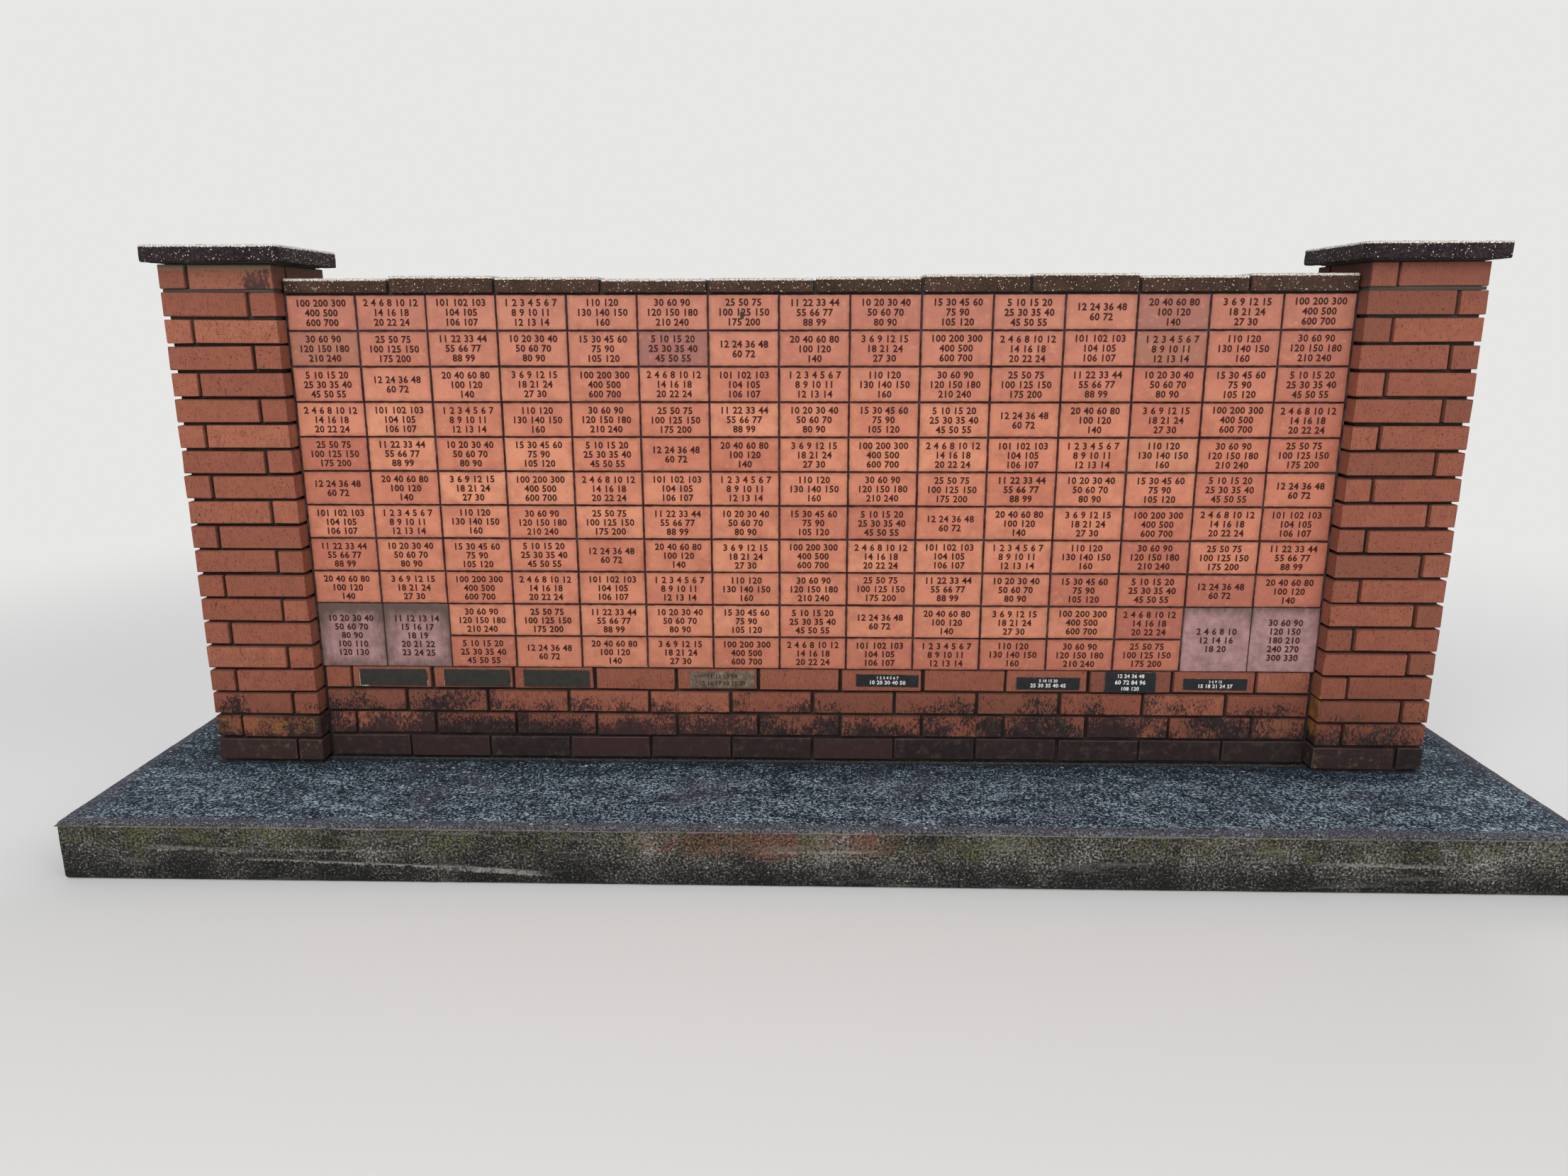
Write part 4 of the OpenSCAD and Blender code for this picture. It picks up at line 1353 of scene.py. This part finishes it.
# %% Set the caps
CAP_T = 0.0508
CAP_BED_IN = 0.006
for side in ("left", "right"):
    node = side + "_pier_cap"
    low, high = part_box(node)
    pier_low, pier_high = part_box(side + "_pier")
    cap = cast_slab("weathered_" + node, (low.x, low.y, high.z - CAP_T), high, edge=0.006,
                    cell=0.0115, material=cap_concrete)
    wear_corners(cap, radius=0.014)
    weather(cap, depth=0.0035, grain=0.014)
    mark_depth(cap, high.z)
    # the bed reaches a little way into the pier and into the cap
    bed = mortar_block((pier_low.x + CAP_BED_IN, pier_low.y + CAP_BED_IN, pier_high.z - 0.001),
                       (pier_high.x - CAP_BED_IN, pier_high.y - CAP_BED_IN, high.z - 0.03))
    piece = join_as("weathered_" + node, [cap, bed])
    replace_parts(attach(piece, "root"), node)
    print(piece.name, "has", len(piece.data.polygons), "faces")

# %% [markdown]
# ## Plinth
# The edge of the plinth was rounded with a hand tool while wet. Below the rounding, paste that
# leaked at the top of the boards left a thin, ragged fin.

# %% Cast the plinth
FIN_H, FIN_REACH, TOOLED = 0.003, 0.002, 0.012
slab_low = (plinth_low.x + FIN_REACH, plinth_low.y + FIN_REACH, plinth_low.z)
slab_high = (plinth_high.x - FIN_REACH, plinth_high.y - FIN_REACH, plinth_high.z)
slab = cast_slab("plinth_body", slab_low, slab_high, edge=TOOLED, cell=0.02,
                 material=plinth_concrete, segments=4)
weather(slab, depth=0.003, grain=0.05)
fin_z = plinth_high.z - TOOLED
fin = cast_slab("plinth_fin", (plinth_low.x, plinth_low.y, fin_z - FIN_H),
                (plinth_high.x, plinth_high.y, fin_z), edge=0.0008, cell=0.03,
                material=plinth_concrete, segments=1)
weather(fin, depth=0.0022, grain=0.03)
cast_plinth = join_as("cast_plinth", [slab, fin])
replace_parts(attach(cast_plinth, "root"), "plinth")
print("the plinth has", len(cast_plinth.data.polygons), "faces")

# %% [markdown]
# ## The hidden core
# The block core between the two leaves keeps its CAD shape. Only its ends could ever be seen, so
# it takes the mortar's material.

# %% Give the core its material
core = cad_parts["block_core"]
core.data.materials.clear()
core.data.materials.append(mortar)

# %% [markdown]
# ## Floor
# The wall stands on a wide, pale, plain floor. Near the wall it is a real surface and takes
# the shadow. Far from the wall it shows the world's own pale tone to the camera, so there
# is no horizon.

# %% Lay the floor
PALE = (0.80, 0.80, 0.79, 1)
bpy.ops.object.select_all(action="DESELECT")
bpy.ops.mesh.primitive_plane_add(size=160, location=(0, 0, 0))
floor = bpy.context.view_layer.objects.active
floor.name = "studio_floor"
floor_material, tree, shader, place = new_material("matte_pale_floor")
shader.inputs["Base Color"].default_value = (0.74, 0.74, 0.73, 1)
shader.inputs["Roughness"].default_value = 0.95
shader.inputs["Specular IOR Level"].default_value = 0.1
far = put(tree, "ShaderNodeVectorMath", {0: place}, operation="LENGTH", result="Value")
far = put(tree, "ShaderNodeMapRange", {"Value": far, "From Min": 2.6, "From Max": 6.5},
          interpolation_type="SMOOTHSTEP")
paths = put(tree, "ShaderNodeLightPath").node
seen = put(tree, "ShaderNodeMath", {0: paths.outputs["Is Camera Ray"],
                                    1: paths.outputs["Is Glossy Ray"]}, operation="MAXIMUM")
seen_far = put(tree, "ShaderNodeMath", {0: far, 1: seen}, operation="MULTIPLY")
plain = put(tree, "ShaderNodeEmission", {"Color": PALE, "Strength": 1.0})
faded = put(tree, "ShaderNodeMixShader", {0: seen_far, 1: shader.outputs["BSDF"], 2: plain})
output = next(n for n in tree.nodes if n.bl_idname == "ShaderNodeOutputMaterial")
tree.links.new(faded, output.inputs["Surface"])
floor.data.materials.append(floor_material)
floor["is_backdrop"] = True
print("floor laid")

# %% [markdown]
# ## Light
# A large soft lamp high in front and an even world give the light of open shade. A weaker lamp
# fills in from the right, and one behind picks out the tops. The camera and the reflections see
# a plain pale world, while a dimmer and slightly blue one lights the wall.

# %% Light the wall
world = bpy.data.worlds.new("studio")
scene.world = world
world.use_nodes = True
tree = world.node_tree
tree.nodes.clear()
paths = put(tree, "ShaderNodeLightPath").node
soft = put(tree, "ShaderNodeBackground", {"Color": (0.96, 0.98, 1.0, 1), "Strength": 0.52})
shown = put(tree, "ShaderNodeBackground", {"Color": PALE, "Strength": 1.0})
seen = put(tree, "ShaderNodeMath", {0: paths.outputs["Is Camera Ray"],
                                    1: paths.outputs["Is Glossy Ray"]}, operation="MAXIMUM")
both = put(tree, "ShaderNodeMixShader", {0: seen, 1: soft, 2: shown})
put(tree, "ShaderNodeOutputWorld", {"Surface": both})


def softbox(name, at, aim, size, power):
    """A large square lamp that looks at a point."""
    bpy.ops.object.light_add(type="AREA", location=at)
    lamp = bpy.context.view_layer.objects.active
    lamp.name = name
    lamp.data.shape = "SQUARE"
    lamp.data.size = size
    lamp.data.energy = power
    lamp.rotation_mode = "QUATERNION"
    lamp.rotation_quaternion = (Vector(aim) - Vector(at)).to_track_quat("-Z", "Y")
    return lamp


softbox("key", (-1.7, -5.8, 5.5), (0, 0, 0.8), size=4.0, power=303)
softbox("fill", (5.0, -4.5, 3.0), (0, 0, 0.8), size=4.0, power=90)
softbox("rim", (1.5, 5.5, 5.0), (0, 0, 1.0), size=4.0, power=170)

# %% [markdown]
# ## Camera
# The camera stands at eye height in front of the middle, turned 1.5 degrees to the left and
# looking down 14 degrees. Its focal length in pixels and the picture's width give the lens.

# %% Place the camera
EYE = (-0.0034, -3.4009, 1.541)
LOOK_DOWN, ROLL, TURN_LEFT = 13.62, 0.07, 1.484
PHOTO_WIDTH, FOCAL_LENGTH = 2212, 1549.7  # pixels
bpy.ops.object.camera_add(location=EYE)
camera = bpy.context.view_layer.objects.active
camera.name = "eye_height_camera"
camera.data.sensor_width = 36.0
camera.data.lens = 36.0 * FOCAL_LENGTH / PHOTO_WIDTH
camera.rotation_euler = [math.radians(angle) for angle in (90 - LOOK_DOWN, ROLL, TURN_LEFT)]
scene.camera = camera
print("lens", round(camera.data.lens, 2), "mm")

# %% [markdown]
# ## Measure and finish
# The Standard view shows colours as they are written. Dressing must not change the size of
# the wall, so the box of the dressed wall is printed.

# %% Finish
scene.view_settings.view_transform = "Standard"
low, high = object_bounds()
print("visual bounds", [round(v, 4) for v in low], [round(v, 4) for v in high])
